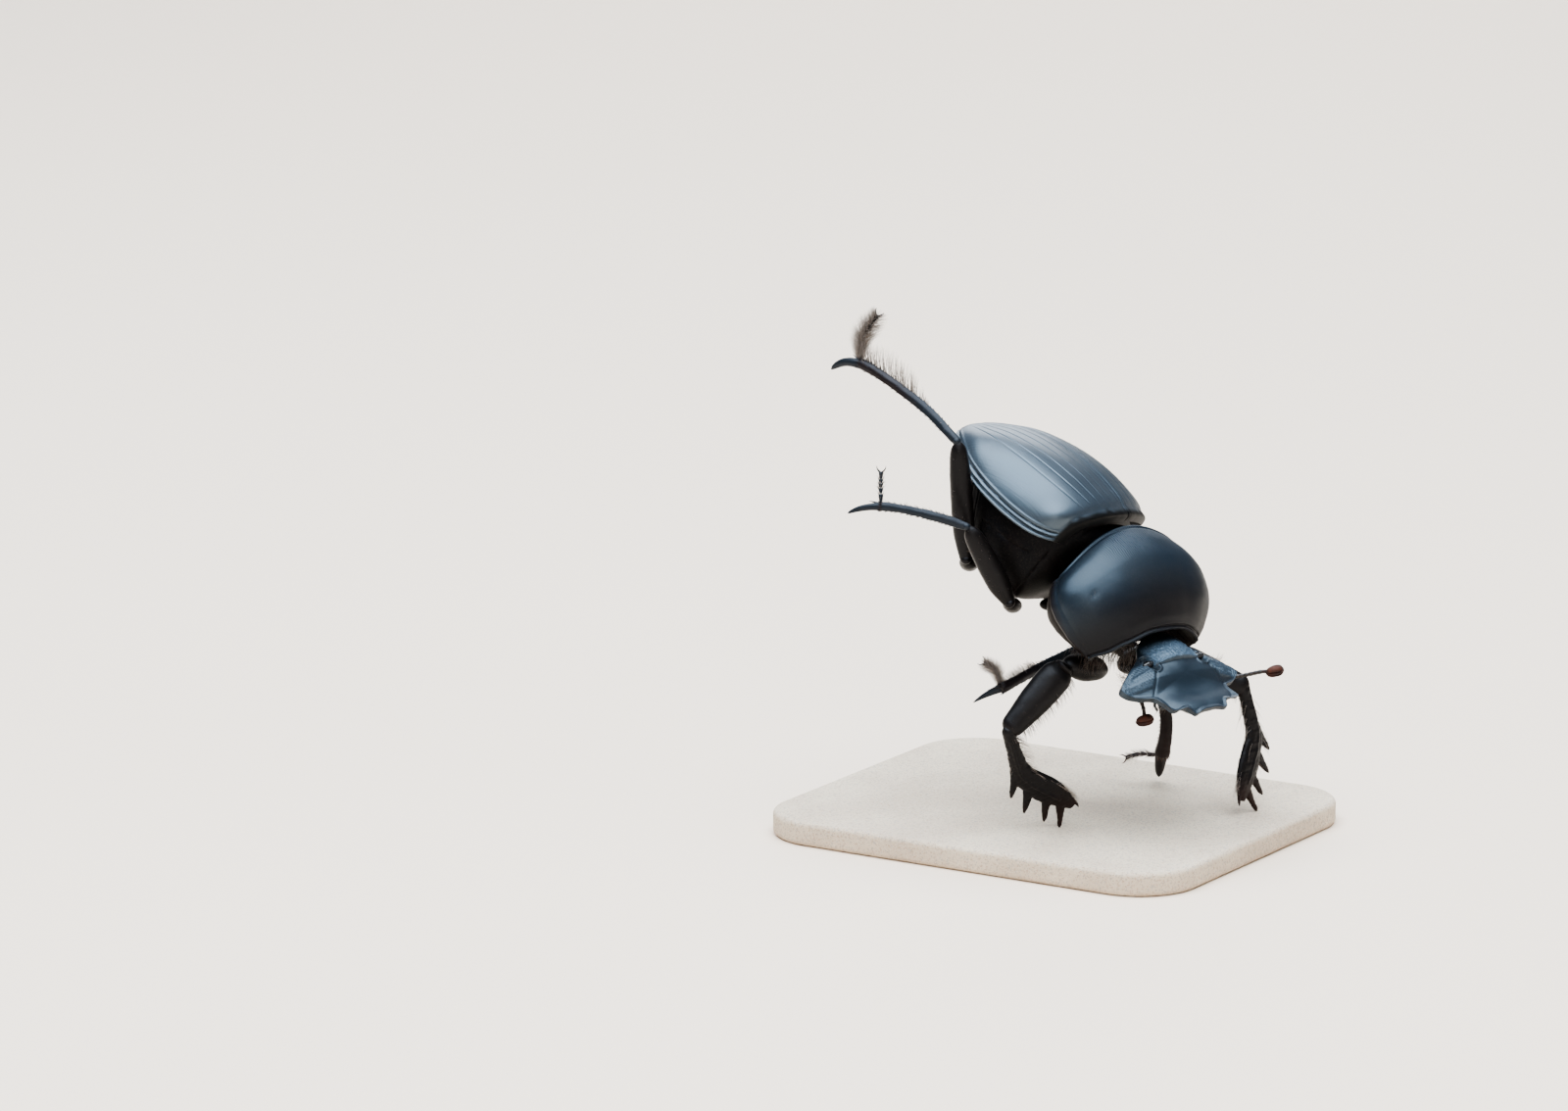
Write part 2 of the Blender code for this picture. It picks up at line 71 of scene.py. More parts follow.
def placeMatrix(angles, place):
    yaw, pitch, roll = (math.radians(a) for a in angles)
    turned = Matrix.Rotation(yaw, 3, "Z") @ Matrix.Rotation(pitch, 3, "Y") @ Matrix.Rotation(roll, 3, "X")
    return np.array(Matrix.Translation(place) @ turned.to_4x4())


def moved(points, matrix):
    return np.asarray(points, float) @ matrix[:3, :3].T + matrix[:3, 3]


def turned(vectors, matrix):
    return np.asarray(vectors, float) @ matrix[:3, :3].T


hindFrame = placeMatrix(*stance["hind"])
frontFrame = placeMatrix(*stance["front"])
neck = moved(stance["neck"], frontFrame)
headFrame = placeMatrix(stance["head"][0], neck + np.array(stance["head"][1]))


def nodeMiddle(node):
    low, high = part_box(node)
    return (np.array(low) + np.array(high)) / 2 / millimetre


def unit(v):
    v = np.asarray(v, float)
    return v / np.maximum(np.linalg.norm(v, axis=-1, keepdims=True), 1e-12)


def smooth(low, high, x):
    t = np.clip((np.asarray(x, float) - low) / (high - low), 0, 1)
    return t * t * (3 - 2 * t)


def ridge(x, middle, width):
    return np.exp(-((x - middle) / width) ** 2)


def curve(rows, x):
    # smooth curve through the rows of a table, one column per value
    rows = np.array(rows, float)
    x = np.clip(np.atleast_1d(np.asarray(x, float)), rows[0, 0], rows[-1, 0])
    i = np.clip(np.searchsorted(rows[:, 0], x, side="right") - 1, 0, len(rows) - 2)
    low, high = rows[i], rows[i + 1]
    before, after = rows[np.maximum(i - 1, 0)], rows[np.minimum(i + 2, len(rows) - 1)]
    span = (high[:, 0] - low[:, 0])[:, None]
    t = (x[:, None] - low[:, :1]) / span
    slopeIn = (high - before) / (high - before)[:, :1] * span
    slopeOut = (after - low) / (after - low)[:, :1] * span
    value = ((2 * t**3 - 3 * t**2 + 1) * low + (t**3 - 2 * t**2 + t) * slopeIn
             + (3 * t**2 - 2 * t**3) * high + (t**3 - t**2) * slopeOut)
    return value[:, 1:].T


def ripple(points, size, seed, count=9):
    # soft unevenness made of a few crossed waves, between about -1 and 1
    draw = np.random.default_rng(seed)
    total = 0
    for _ in range(count):
        way = unit(draw.normal(size=3)) * 2 * math.pi / (size * draw.uniform(0.7, 1.6))
        total = total + np.sin(points @ way + draw.uniform(0, 2 * math.pi))
    return total / math.sqrt(count) * 0.7


def gridNormals(grid, aroundClosed):
    # surface directions of a grid of points (along, around, 3)
    along = np.gradient(grid, axis=0)
    if aroundClosed:
        around = (np.roll(grid, -1, axis=1) - np.roll(grid, 1, axis=1)) / 2
    else:
        around = np.gradient(grid, axis=1)
    return unit(np.cross(along, around))


def smoothPath(points, steps):
    points = np.array(points, float)
    ends = np.vstack([2 * points[0] - points[1], points, 2 * points[-1] - points[-2]])
    path = []
    for i in range(1, len(ends) - 2):
        a, b, c, d = ends[i - 1:i + 3]
        for k in range(steps):
            t = k / steps
            path.append(0.5 * (2 * b + (c - a) * t + (2 * a - 5 * b + 4 * c - d) * t**2
                               + (3 * b - a - 3 * c + d) * t**3))
    return np.array(path + [points[-1]])


class Signal:
    # one output of a node, written into Python expressions
    def __init__(self, nodes, socket):
        self.nodes, self.socket = nodes, socket

    def maths(self, operation, *values):
        return self.nodes.add("ShaderNodeMath", {"operation": operation}, dict(enumerate(values)))

    def __add__(self, other): return self.maths("ADD", self, other)
    def __radd__(self, other): return self.maths("ADD", other, self)
    def __sub__(self, other): return self.maths("SUBTRACT", self, other)
    def __rsub__(self, other): return self.maths("SUBTRACT", other, self)
    def __mul__(self, other): return self.maths("MULTIPLY", self, other)
    def __rmul__(self, other): return self.maths("MULTIPLY", other, self)


class NodeTree:
    # the nodes of a finish or of the air: add makes each of them, plug feeds a socket
    def __init__(self, tree):
        self.tree = tree

    def add(self, kind, settings, inputs, output=0):
        node = self.tree.nodes.new(kind)
        for name, value in settings.items():
            if name == "stops":
                ramp = node.color_ramp.elements
                while len(ramp) < len(value):
                    ramp.new(0.5)
                for element, (position, colour) in zip(ramp, value):
                    element.position, element.color = position, colour
            else:
                setattr(node, name, value)
        for name, value in inputs.items():
            self.plug(node.inputs[name], value)
        return Signal(self, node.outputs[output])

    def plug(self, socket, value):
        if isinstance(value, Signal):
            self.tree.links.new(value.socket, socket)
        elif value is not None:
            socket.default_value = value


class Finish(NodeTree):
    # one material and what is plugged into its shader
    def __init__(self, name, **fixed):
        self.material = bpy.data.materials.new(name)
        self.material.use_nodes = True
        super().__init__(self.material.node_tree)
        self.shader = self.tree.nodes["Principled BSDF"]
        self.set(**fixed)
        place = self.add("ShaderNodeTexCoord", {}, {}, "Object")
        self.place = self.vector("MULTIPLY", place, (1000, 1000, 1000))      # in millimetres

    def vector(self, operation, *values):
        return self.add("ShaderNodeVectorMath", {"operation": operation}, dict(enumerate(values)))

    def mix(self, factor, first, second):
        # colours blended by a mask
        return self.add("ShaderNodeMix", {"data_type": "RGBA"}, {0: factor, 6: first, 7: second}, 2)

    def value(self, name):
        # a per-vertex number painted by the shape code
        return self.add("ShaderNodeAttribute", {"attribute_name": name}, {}, "Fac")

    def lay(self, scale):
        # the piece's own running coordinates, in millimetres, stretched
        spot = self.add("ShaderNodeAttribute", {"attribute_name": "lay"}, {}, "Vector")
        return self.vector("MULTIPLY", spot, scale)

    def noise(self, scale, detail=3.0, rough=0.5, where=None):
        return self.add("ShaderNodeTexNoise", {}, {
            "Vector": where or self.place, "Scale": scale, "Detail": detail, "Roughness": rough})

    def cells(self, scale, feature="F1", output="Distance"):
        return self.add("ShaderNodeTexVoronoi", {"feature": feature},
                        {"Vector": self.place, "Scale": scale}, output)

    def between(self, signal, low, high):
        # signal from low..high brought to 0..1, with soft ends
        return self.add("ShaderNodeMapRange", {"interpolation_type": "SMOOTHSTEP"}, {
            "Value": signal, "From Min": low, "From Max": high})

    def relief(self, height, depth, under=None):
        # depth is the height in millimetres that a signal of 1 stands for
        return self.add("ShaderNodeBump", {}, {
            "Height": height, "Distance": depth * millimetre, "Strength": 1.0, "Normal": under})

    def paintShade(self, mask, colour, rough, shine):
        # painted shade: a second shader with little shine, in its own dark colour, takes over where the mask is
        # 1
        glossy = Signal(self, self.shader.outputs[0])
        shadeCover = self.add("ShaderNodeBsdfPrincipled", {}, {
            "Base Color": colour, "Roughness": rough, "Specular IOR Level": shine})
        blend = self.add("ShaderNodeMixShader", {}, {0: mask, 1: glossy, 2: shadeCover})
        self.plug(self.tree.nodes["Material Output"].inputs["Surface"], blend)

    def set(self, **inputs):
        for name, value in inputs.items():
            self.plug(self.shader.inputs[name.replace("_", " ")], value)
        return self.material


dustColour, sandColour = (0.30, 0.25, 0.19, 1), (0.30, 0.24, 0.17, 1)


def shellFinish(name, look):
    # satin black chitin: fine pores, a silky grain along the piece, dust in its hollows
    f = Finish(name, IOR=1.56, Specular_IOR_Level=look["shine"], Specular_Tint=look["sheen"],
               Coat_Roughness=look["coatRoughness"])
    cloud = f.noise(0.16, 4.0, 0.6)
    grain = f.noise(1.0, 4.0, 0.6, f.lay((*look["grain"], 1.0)))
    pores = f.cells(look["pores"])
    speck = f.between(f.noise(5.5, 3.0, 0.7), 0.50, 0.66)
    dust = f.value("dust") * speck
    dark = f.mix(f.between(cloud, 0.35, 0.65), look["dark"], look["warm"])
    dark = f.mix(f.value("tone"), dark, look["edge"])
    # painted sheen: granulate areas lightened toward a pale blue-grey, where they would catch the light
    if look.get("pale"):
        dark = f.mix(f.value("granule") * 0.75, dark, look["pale"])
    colour = f.mix(dust * 0.6, dark, dustColour)
    bump = f.relief(grain, look["grainDepth"])
    bump = f.relief(f.between(pores, 0.0, 0.35), look["poreDepth"], bump)
    rough = f.noise(8.0, 3.0, 0.6)
    if look.get("wrinkle"):
        waves = f.add("ShaderNodeTexWave", {"wave_type": "BANDS", "bands_direction": "Y"}, {
            "Vector": f.lay((1.0, 1.0, 1.0)), "Scale": look["wrinkleScale"], "Distortion": 7.0,
            "Detail": 2.0, "Detail Scale": 0.55, "Detail Roughness": 0.6})
        bump = f.relief(waves * f.value("wrinkle"), look["wrinkle"], bump)
    if look.get("granule"):
        knobs = 1 - f.between(f.cells(look["granuleScale"]), 0.0, 0.55)
        bump = f.relief(knobs * f.value("granule"), look["granule"], bump)
    bump = f.relief(dust, 0.04, bump)
    # painted shade where the shade mask is set
    if look.get("dull"):
        f.paintShade(f.value("dull"), look["dull"], 0.5, 0.14)
    smoothest, roughest = look["rough"]
    gloss = smoothest + (roughest - smoothest) * rough + dust * 0.3
    return f.set(Base_Color=colour, Roughness=gloss + 0.08 * f.value("granule"), Normal=bump,
                 Coat_Weight=look["coat"])


def legFinish(name, look):
    # black-brown limbs that turn red where they thin out
    f = Finish(name, IOR=1.5, Specular_IOR_Level=look["shine"], Specular_Tint=look["sheen"],
               Coat_Roughness=0.24)
    cloud = f.noise(0.6, 4.0, 0.6)
    thin = f.between(f.value("tone") + (cloud - 0.5) * 0.4, 0.15, 0.95)
    colour = f.mix(thin, look["dark"], look["thin"])
    sand = f.between(f.noise(4.5, 3.0, 0.7), 0.64, 0.74) * f.value("dust")
    colour = f.mix(sand * 0.5, colour, sandColour)
    pits = f.between(f.cells(3.2), 0.0, 0.30)
    bump = f.relief(f.noise(1.6, 3.0, 0.5), 0.022)
    bump = f.relief(pits, 0.012, bump)
    bump = f.relief(f.noise(14.0, 2.0, 0.5), 0.006, bump)
    gloss = look["rough"] + 0.16 * f.noise(1.4, 4.0, 0.6) + sand * 0.3
    return f.set(Base_Color=colour, Roughness=gloss, Normal=bump, Coat_Weight=look["coat"])


blueSheen, plainSheen = (0.66, 0.84, 1.0, 1), (0.85, 0.90, 1.0, 1)
# The blue-grey in the shell colours is painted sky reflection on black chitin; each shell's colour under its
# shade mask is painted shade.
shellLook = {  # colours, gloss and relief of the kinds of shell
    "elytra": {"dark": (0.014, 0.020, 0.027, 1), "warm": (0.020, 0.025, 0.031, 1),
               "edge": (0.004, 0.004, 0.005, 1), "rough": (0.33, 0.45), "coat": 0.12, "coatRoughness": 0.30,
               "dull": (0.003, 0.003, 0.003, 1), "grain": (0.35, 5.0), "grainDepth": 0.016,
               "pores": 11.0, "poreDepth": 0.004, "shine": 0.85, "sheen": blueSheen},
    "pronotum": {"dark": (0.004, 0.008, 0.014, 1), "warm": (0.008, 0.010, 0.013, 1),
                 "edge": (0.016, 0.007, 0.005, 1), "rough": (0.36, 0.48), "coat": 0.03,
                 "coatRoughness": 0.32, "dull": (0.006, 0.0035, 0.003, 1), "grain": (1.3, 1.3),
                 "grainDepth": 0.008, "pores": 9.0, "poreDepth": 0.005, "wrinkle": 0.035,
                 "wrinkleScale": 1.35, "shine": 0.46, "sheen": blueSheen},
    "head": {"dark": (0.008, 0.013, 0.019, 1), "warm": (0.012, 0.016, 0.021, 1),
             "edge": (0.006, 0.004, 0.004, 1), "rough": (0.34, 0.46), "coat": 0.06, "coatRoughness": 0.28,
             "pale": (0.055, 0.086, 0.122, 1), "dull": (0.011, 0.018, 0.026, 1),
             "grain": (1.6, 1.6), "grainDepth": 0.010, "pores": 8.0, "poreDepth": 0.006,
             "granule": 0.05, "granuleScale": 5.0, "shine": 0.50, "sheen": blueSheen},
    # near black with little shine: partly the chitin's own black, partly painted shadow under the body
    "underside": {"dark": (0.0020, 0.0019, 0.0022, 1), "warm": (0.0040, 0.0030, 0.0028, 1),
                  "edge": (0.010, 0.0045, 0.0035, 1), "rough": (0.44, 0.58), "coat": 0.0,
                  "coatRoughness": 0.30, "grain": (1.6, 1.6), "grainDepth": 0.012, "pores": 3.6,
                  "poreDepth": 0.010, "shine": 0.10, "sheen": plainSheen},
}
legLook = {
    "fore": {"dark": (0.0045, 0.0034, 0.0032, 1), "thin": (0.020, 0.008, 0.0055, 1), "rough": 0.34,
             "coat": 0.02, "shine": 0.20, "sheen": (0.92, 0.94, 1.0, 1)},
    # the blue-grey of the dark colour, near the knee, is painted sky sheen on black chitin
    "long": {"dark": (0.008, 0.011, 0.015, 1), "thin": (0.010, 0.005, 0.004, 1), "rough": 0.32, "coat": 0.03,
             "shine": 0.28, "sheen": plainSheen},
    "red": {"dark": (0.010, 0.0045, 0.0035, 1), "thin": (0.050, 0.015, 0.008, 1), "rough": 0.32, "coat": 0.06,
            "shine": 0.30, "sheen": plainSheen},
}
finishes = {name: shellFinish(name + "Shell", look) for name, look in shellLook.items()}
finishes.update({name + "Leg": legFinish(name + "Chitin", look) for name, look in legLook.items()})


otherLook = {  # colours of what isn't shell or limb
    "club": {"dark": (0.022, 0.0065, 0.004, 1), "light": (0.070, 0.019, 0.009, 1),
             "edge": (0.010, 0.004, 0.003, 1)},
    "stem": {"dark": (0.006, 0.004, 0.0035, 1), "light": (0.016, 0.008, 0.005, 1)},
    "eye": {"dark": (0.0035, 0.0028, 0.0030, 1), "light": (0.009, 0.0055, 0.0045, 1)},
    "darkBristle": {"root": (0.022, 0.011, 0.008, 1), "tip": (0.10, 0.060, 0.038, 1)},
    "paleBristle": {"root": (0.10, 0.074, 0.058, 1), "tip": (0.38, 0.31, 0.26, 1)},
    "plinth": {"dark": (0.52, 0.42, 0.32, 1), "light": (0.62, 0.52, 0.40, 1),
               "rosyGrain": (0.36, 0.24, 0.18, 1), "blackGrain": (0.22, 0.21, 0.21, 1),
               "bloom": (0.72, 0.65, 0.55, 1)},
    "floor": {"dark": (0.74, 0.61, 0.49, 1), "light": (0.80, 0.67, 0.55, 1)},
}


def clubFinish(look):
    # velvety, dark red-brown leaves of the feeler clubs
    f = Finish("clubVelvet", Sheen_Weight=0.08, Sheen_Roughness=0.4, IOR=1.5, Specular_IOR_Level=0.3)
    cloud = f.noise(1.6, 4.0, 0.6)
    colour = f.mix(f.between(cloud, 0.3, 0.7), look["dark"], look["light"])
    colour = f.mix(f.value("tone"), colour, look["edge"])
    bump = f.relief(f.noise(22.0, 3.0, 0.7), 0.012)
    return f.set(Base_Color=colour, Roughness=0.5 + 0.2 * cloud, Normal=bump)


def stemFinish(look):
    f = Finish("stemBrown", IOR=1.5)
    cloud = f.noise(1.8, 4.0, 0.6)
    colour = f.mix(f.between(cloud, 0.3, 0.7), look["dark"], look["light"])
    return f.set(Base_Color=colour, Roughness=0.32 + 0.15 * cloud, Normal=f.relief(f.noise(9.0), 0.01))


def eyeFinish(look):
    # glossy dark eye with its small facets
    f = Finish("eyeGloss", IOR=1.5, Coat_Weight=0.6, Coat_Roughness=0.06)
    facets = f.cells(20.0, feature="DISTANCE_TO_EDGE")
    colour = f.mix(f.noise(1.2, 3.0), look["dark"], look["light"])
    return f.set(Base_Color=colour, Roughness=0.14 + 0.05 * f.noise(4.0, 2.0),
                 Normal=f.relief(f.between(facets, 0.0, 0.12), 0.006))


def bristleFinish(name, look):
    f = Finish(name, IOR=1.5, Sheen_Weight=0.2)
    darker = tuple(0.55 * c for c in look["root"][:3]) + (1,)
    colour = f.mix(f.between(f.value("tone"), 0.0, 1.0), look["root"], look["tip"])
    colour = f.mix(f.noise(0.9, 3.0) * 0.5, colour, darker)
    return f.set(Base_Color=colour, Roughness=0.34 + 0.1 * f.noise(6.0))


def plinthFinish(look):
    # fine pale sandstone with scattered darker and rosy grains
    f = Finish("plinthSandstone", IOR=1.45)
    cloud = f.noise(0.11, 5.0, 0.6)
    grain = f.cells(7.5, output="Color")
    tint = f.add("ShaderNodeSeparateColor", {}, {"Color": grain}, 0)
    body = f.mix(f.between(cloud, 0.3, 0.7), look["dark"], look["light"])
    body = f.mix(f.between(tint, 0.80, 0.92) * 0.55, body, look["rosyGrain"])
    body = f.mix(f.between(1 - tint, 0.86, 0.95) * 0.5, body, look["blackGrain"])
    body = f.mix(f.between(f.noise(2.6, 4.0, 0.7), 0.45, 0.8) * 0.4, body, look["bloom"])
    bump = f.relief(f.cells(7.5), 0.035)
    bump = f.relief(f.noise(1.4, 6.0, 0.75), 0.10, bump)
    return f.set(Base_Color=body, Roughness=0.72 + 0.2 * f.noise(2.0), Normal=bump)


def floorFinish(look):
    f = Finish("studioFloor")
    cloud = f.noise(0.004, 3.0, 0.5)
    colour = f.mix(cloud, look["dark"], look["light"])
    return f.set(Base_Color=colour, Roughness=0.8 + 0.1 * cloud)


makers = {"club": clubFinish, "stem": stemFinish, "eye": eyeFinish, "plinth": plinthFinish,
          "floor": floorFinish}
finishes.update({name: maker(otherLook[name]) for name, maker in makers.items()})
finishes["darkBristle"] = bristleFinish("bristleDark", otherLook["darkBristle"])
finishes["paleBristle"] = bristleFinish("bristleGrey", otherLook["paleBristle"])
print("finishes made:", len(finishes))


class Shape:
    # gathers closed bodies in millimetres, with painted values for the finish
    painted = ("tone", "dust", "wrinkle", "granule", "dull")

    def __init__(self):
        self.verts, self.faces, self.lays, self.count = [], [], [], 0
        self.values = {name: [] for name in self.painted}

    def add(self, verts, faces, lay=None, **paint):
        verts = np.asarray(verts, float).reshape(-1, 3)
        if signedVolume(verts, faces) < 0:
            faces = [part[:, ::-1] for part in faces]
        self.verts.append(verts)
        self.faces += [part + self.count for part in faces]
        self.lays.append(verts if lay is None else np.asarray(lay, float).reshape(-1, 3))
        for name in self.painted:
            value = paint.get(name, 0.0)
            self.values[name].append(np.broadcast_to(np.asarray(value, float).reshape(-1), (len(verts),))
                                     if np.size(value) == 1 else np.asarray(value, float).reshape(-1))
        self.count += len(verts)
        return self

    def make(self, name, finish, slot, nodes, edgeAngle=40):
        mesh = bpy.data.meshes.new(name)
        faces = [row for part in self.faces for row in part.tolist()]
        mesh.from_pydata((np.vstack(self.verts) * millimetre).tolist(), [], faces)
        lay = mesh.attributes.new("lay", "FLOAT_VECTOR", "POINT")
        lay.data.foreach_set("vector", np.vstack(self.lays).ravel())
        for value in self.painted:
            layer = mesh.attributes.new(value, "FLOAT", "POINT")
            layer.data.foreach_set("value", np.concatenate(self.values[value]))
        mesh.materials.append(finishes[finish])
        mesh.shade_smooth()
        mesh.set_sharp_from_angle(angle=math.radians(edgeAngle))
        piece = bpy.data.objects.new(name, mesh)
        bpy.context.scene.collection.objects.link(piece)
        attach(piece, "root")
        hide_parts(*nodes)


def signedVolume(verts, faces):
    total = 0.0
    middle = verts.mean(axis=0)
    for part in faces:
        corners = verts[part] - middle
        for k in range(1, part.shape[1] - 1):
            total += np.einsum("ij,ij->", corners[:, 0], np.cross(corners[:, k], corners[:, k + 1]))
    return total


def gridFaces(rows, columns, closed):
    i, j = np.meshgrid(np.arange(rows - 1), np.arange(columns if closed else columns - 1), indexing="ij")
    i, j = i.ravel(), j.ravel()
    k = (j + 1) % columns
    return np.stack([i * columns + j, i * columns + k, (i + 1) * columns + k, (i + 1) * columns + j], 1)


def tube(rings, shell=False):
    # rings (along, around, 3) closed at both ends, by fans or, for a shell's ring, by a strip
    rows, columns = rings.shape[:2]
    verts = rings.reshape(-1, 3)
    faces = [gridFaces(rows, columns, True)]
    if shell:
        i = np.arange(columns // 2 - 1)
        for start in (0, (rows - 1) * columns):
            ends = [start + i, start + i + 1, start + columns - 2 - i, start + columns - 1 - i]
            strip = np.stack(ends, 1)
            faces.append(strip if start else strip[:, ::-1])
        return verts, faces
    i = np.arange(columns)
    k = (i + 1) % columns
    verts = np.vstack([verts, rings[0].mean(axis=0), rings[-1].mean(axis=0)])
    first, last = rows * columns, rows * columns + 1
    faces.append(np.stack([k, i, np.full(columns, first)], 1))
    start = (rows - 1) * columns
    faces.append(np.stack([start + i, start + k, np.full(columns, last)], 1))
    return verts, faces


def padded(values, verts):
    # painted values of a tube with their two cap middles added
    flat = np.asarray(values, float).reshape(-1)
    return np.concatenate([flat, [flat[0], flat[-1]]]) if len(flat) == len(verts) - 2 else flat


def ball(size, matrix, segments=32, rings=18):
    a = np.linspace(0, math.pi, rings)[1:-1]
    b = np.linspace(0, 2 * math.pi, segments, endpoint=False)
    x = np.cos(a)[:, None] * np.ones_like(b)
    y, z = np.sin(a)[:, None] * np.cos(b), np.sin(a)[:, None] * np.sin(b)
    return tube(moved(np.stack([x, y, z], -1) * size, matrix))


def aimed(middle, direction, up=(0, 0, 1)):
    # matrix whose X axis points along direction
    x = unit(direction)
    y = unit(np.cross(up, x))
    matrix = np.eye(4)
    matrix[:3, 0], matrix[:3, 1], matrix[:3, 2], matrix[:3, 3] = x, y, np.cross(x, y), middle
    return matrix


def rod(path, radius, flat, sides, face=legFace, profile=None):
    # rings round a path: radius per point, flat squeezes them along face
    path = np.asarray(path, float)
    along = np.empty_like(path)
    along[1:-1] = path[2:] - path[:-2]
    along[0], along[-1] = path[1] - path[0], path[-1] - path[-2]
    along = unit(along)
    side = unit(np.cross(along, face))
    other = np.cross(along, side)
    a = np.linspace(0, 2 * math.pi, sides, endpoint=False)
    swell = np.ones((len(path), sides))
    if profile:
        swell = profile(np.linspace(0, 1, len(path))[:, None], a)
    reach = np.broadcast_to(np.asarray(radius, float), (len(path),))[:, None] * swell
    return (path[:, None] + side[:, None] * (reach * np.cos(a))[..., None]
            + other[:, None] * (reach * np.sin(a) * flat)[..., None])


def spine(root, tip, thick, bend=(0, 0, 0), sides=10, rings=8):
    # tapering thorn, claw or tooth
    blunt = 0.12                           # share of the thickness left at its tip
    t = np.linspace(0, 1, rings)[:, None]
    root, tip, bend = (np.asarray(v, float) for v in (root, tip, bend))
    path = root + (tip - root) * t + bend * (4 * t * (1 - t))
    radius = thick * (1 - (1 - blunt) * t[:, 0] ** 1.3)
    radius[-1] *= 0.4
    face = (0.3, 0.5, 0.81) if abs(unit(tip - root) @ unit((0.3, 0.5, 0.81))) < 0.9 else (0.8, -0.5, 0.1)
    return tube(rod(path, radius, 1.0, sides, face))


elytra = {
    "length": 16.6, "thickness": 0.8, "suture": 0.03,
    "sections": (  # distance behind the joint, half width, crest, margin
        (0.0, 8.8, 4.0, -0.3), (2.0, 9.7, 4.7, -0.9), (5.0, 10.2, 5.0, -1.35), (9.0, 9.7, 4.6, -1.45),
        (12.0, 8.5, 3.7, -1.3), (14.3, 6.7, 2.4, -1.0), (15.9, 4.9, 1.2, -0.8), (16.6, 3.2, 0.4, -0.8)),
    "striae": (0.080, 0.185, 0.295, 0.405, 0.505, 0.60), "striaDepth": 0.050, "striaWidth": 0.085,
    "edgeRound": 0.22,
    "keels": ((0.14, 0.10, 0.09), (0.38, -0.13, 0.07), (0.62, 0.12, 0.07), (0.86, -0.13, 0.07),
              (1.14, 0.06, 0.12)),         # along the outer edge: distance from it, height, width
    "knobs": (  # shoulder and hind end: height, place and reach along, place and reach from the edge
        (0.30, 2.1, 1.3, 2.6, 1.2), (0.16, 13.4, 1.4, 2.4, 1.1)),
    "archSteps": 400,                        # steps for measuring the arch
}


def elytronPoints(x, a, depth):
    width, crest, margin = curve(elytra["sections"], x.ravel()).reshape(3, *x.shape)
    gap = elytra["suture"] / 2
    reach, height = width - depth, np.maximum(crest - margin - depth, 0.15)
    y = gap + (reach - gap) * np.sin(a) ** 0.85
    z = margin + height * np.maximum(np.cos(a), 0) ** 0.75
    nearBase = np.maximum(0, 1 - x / 3)
    back = 0.4 - 0.5 * nearBase + 1.2 * (y / width) ** 3 * nearBase
    return np.stack([-x - back, y, z], -1)


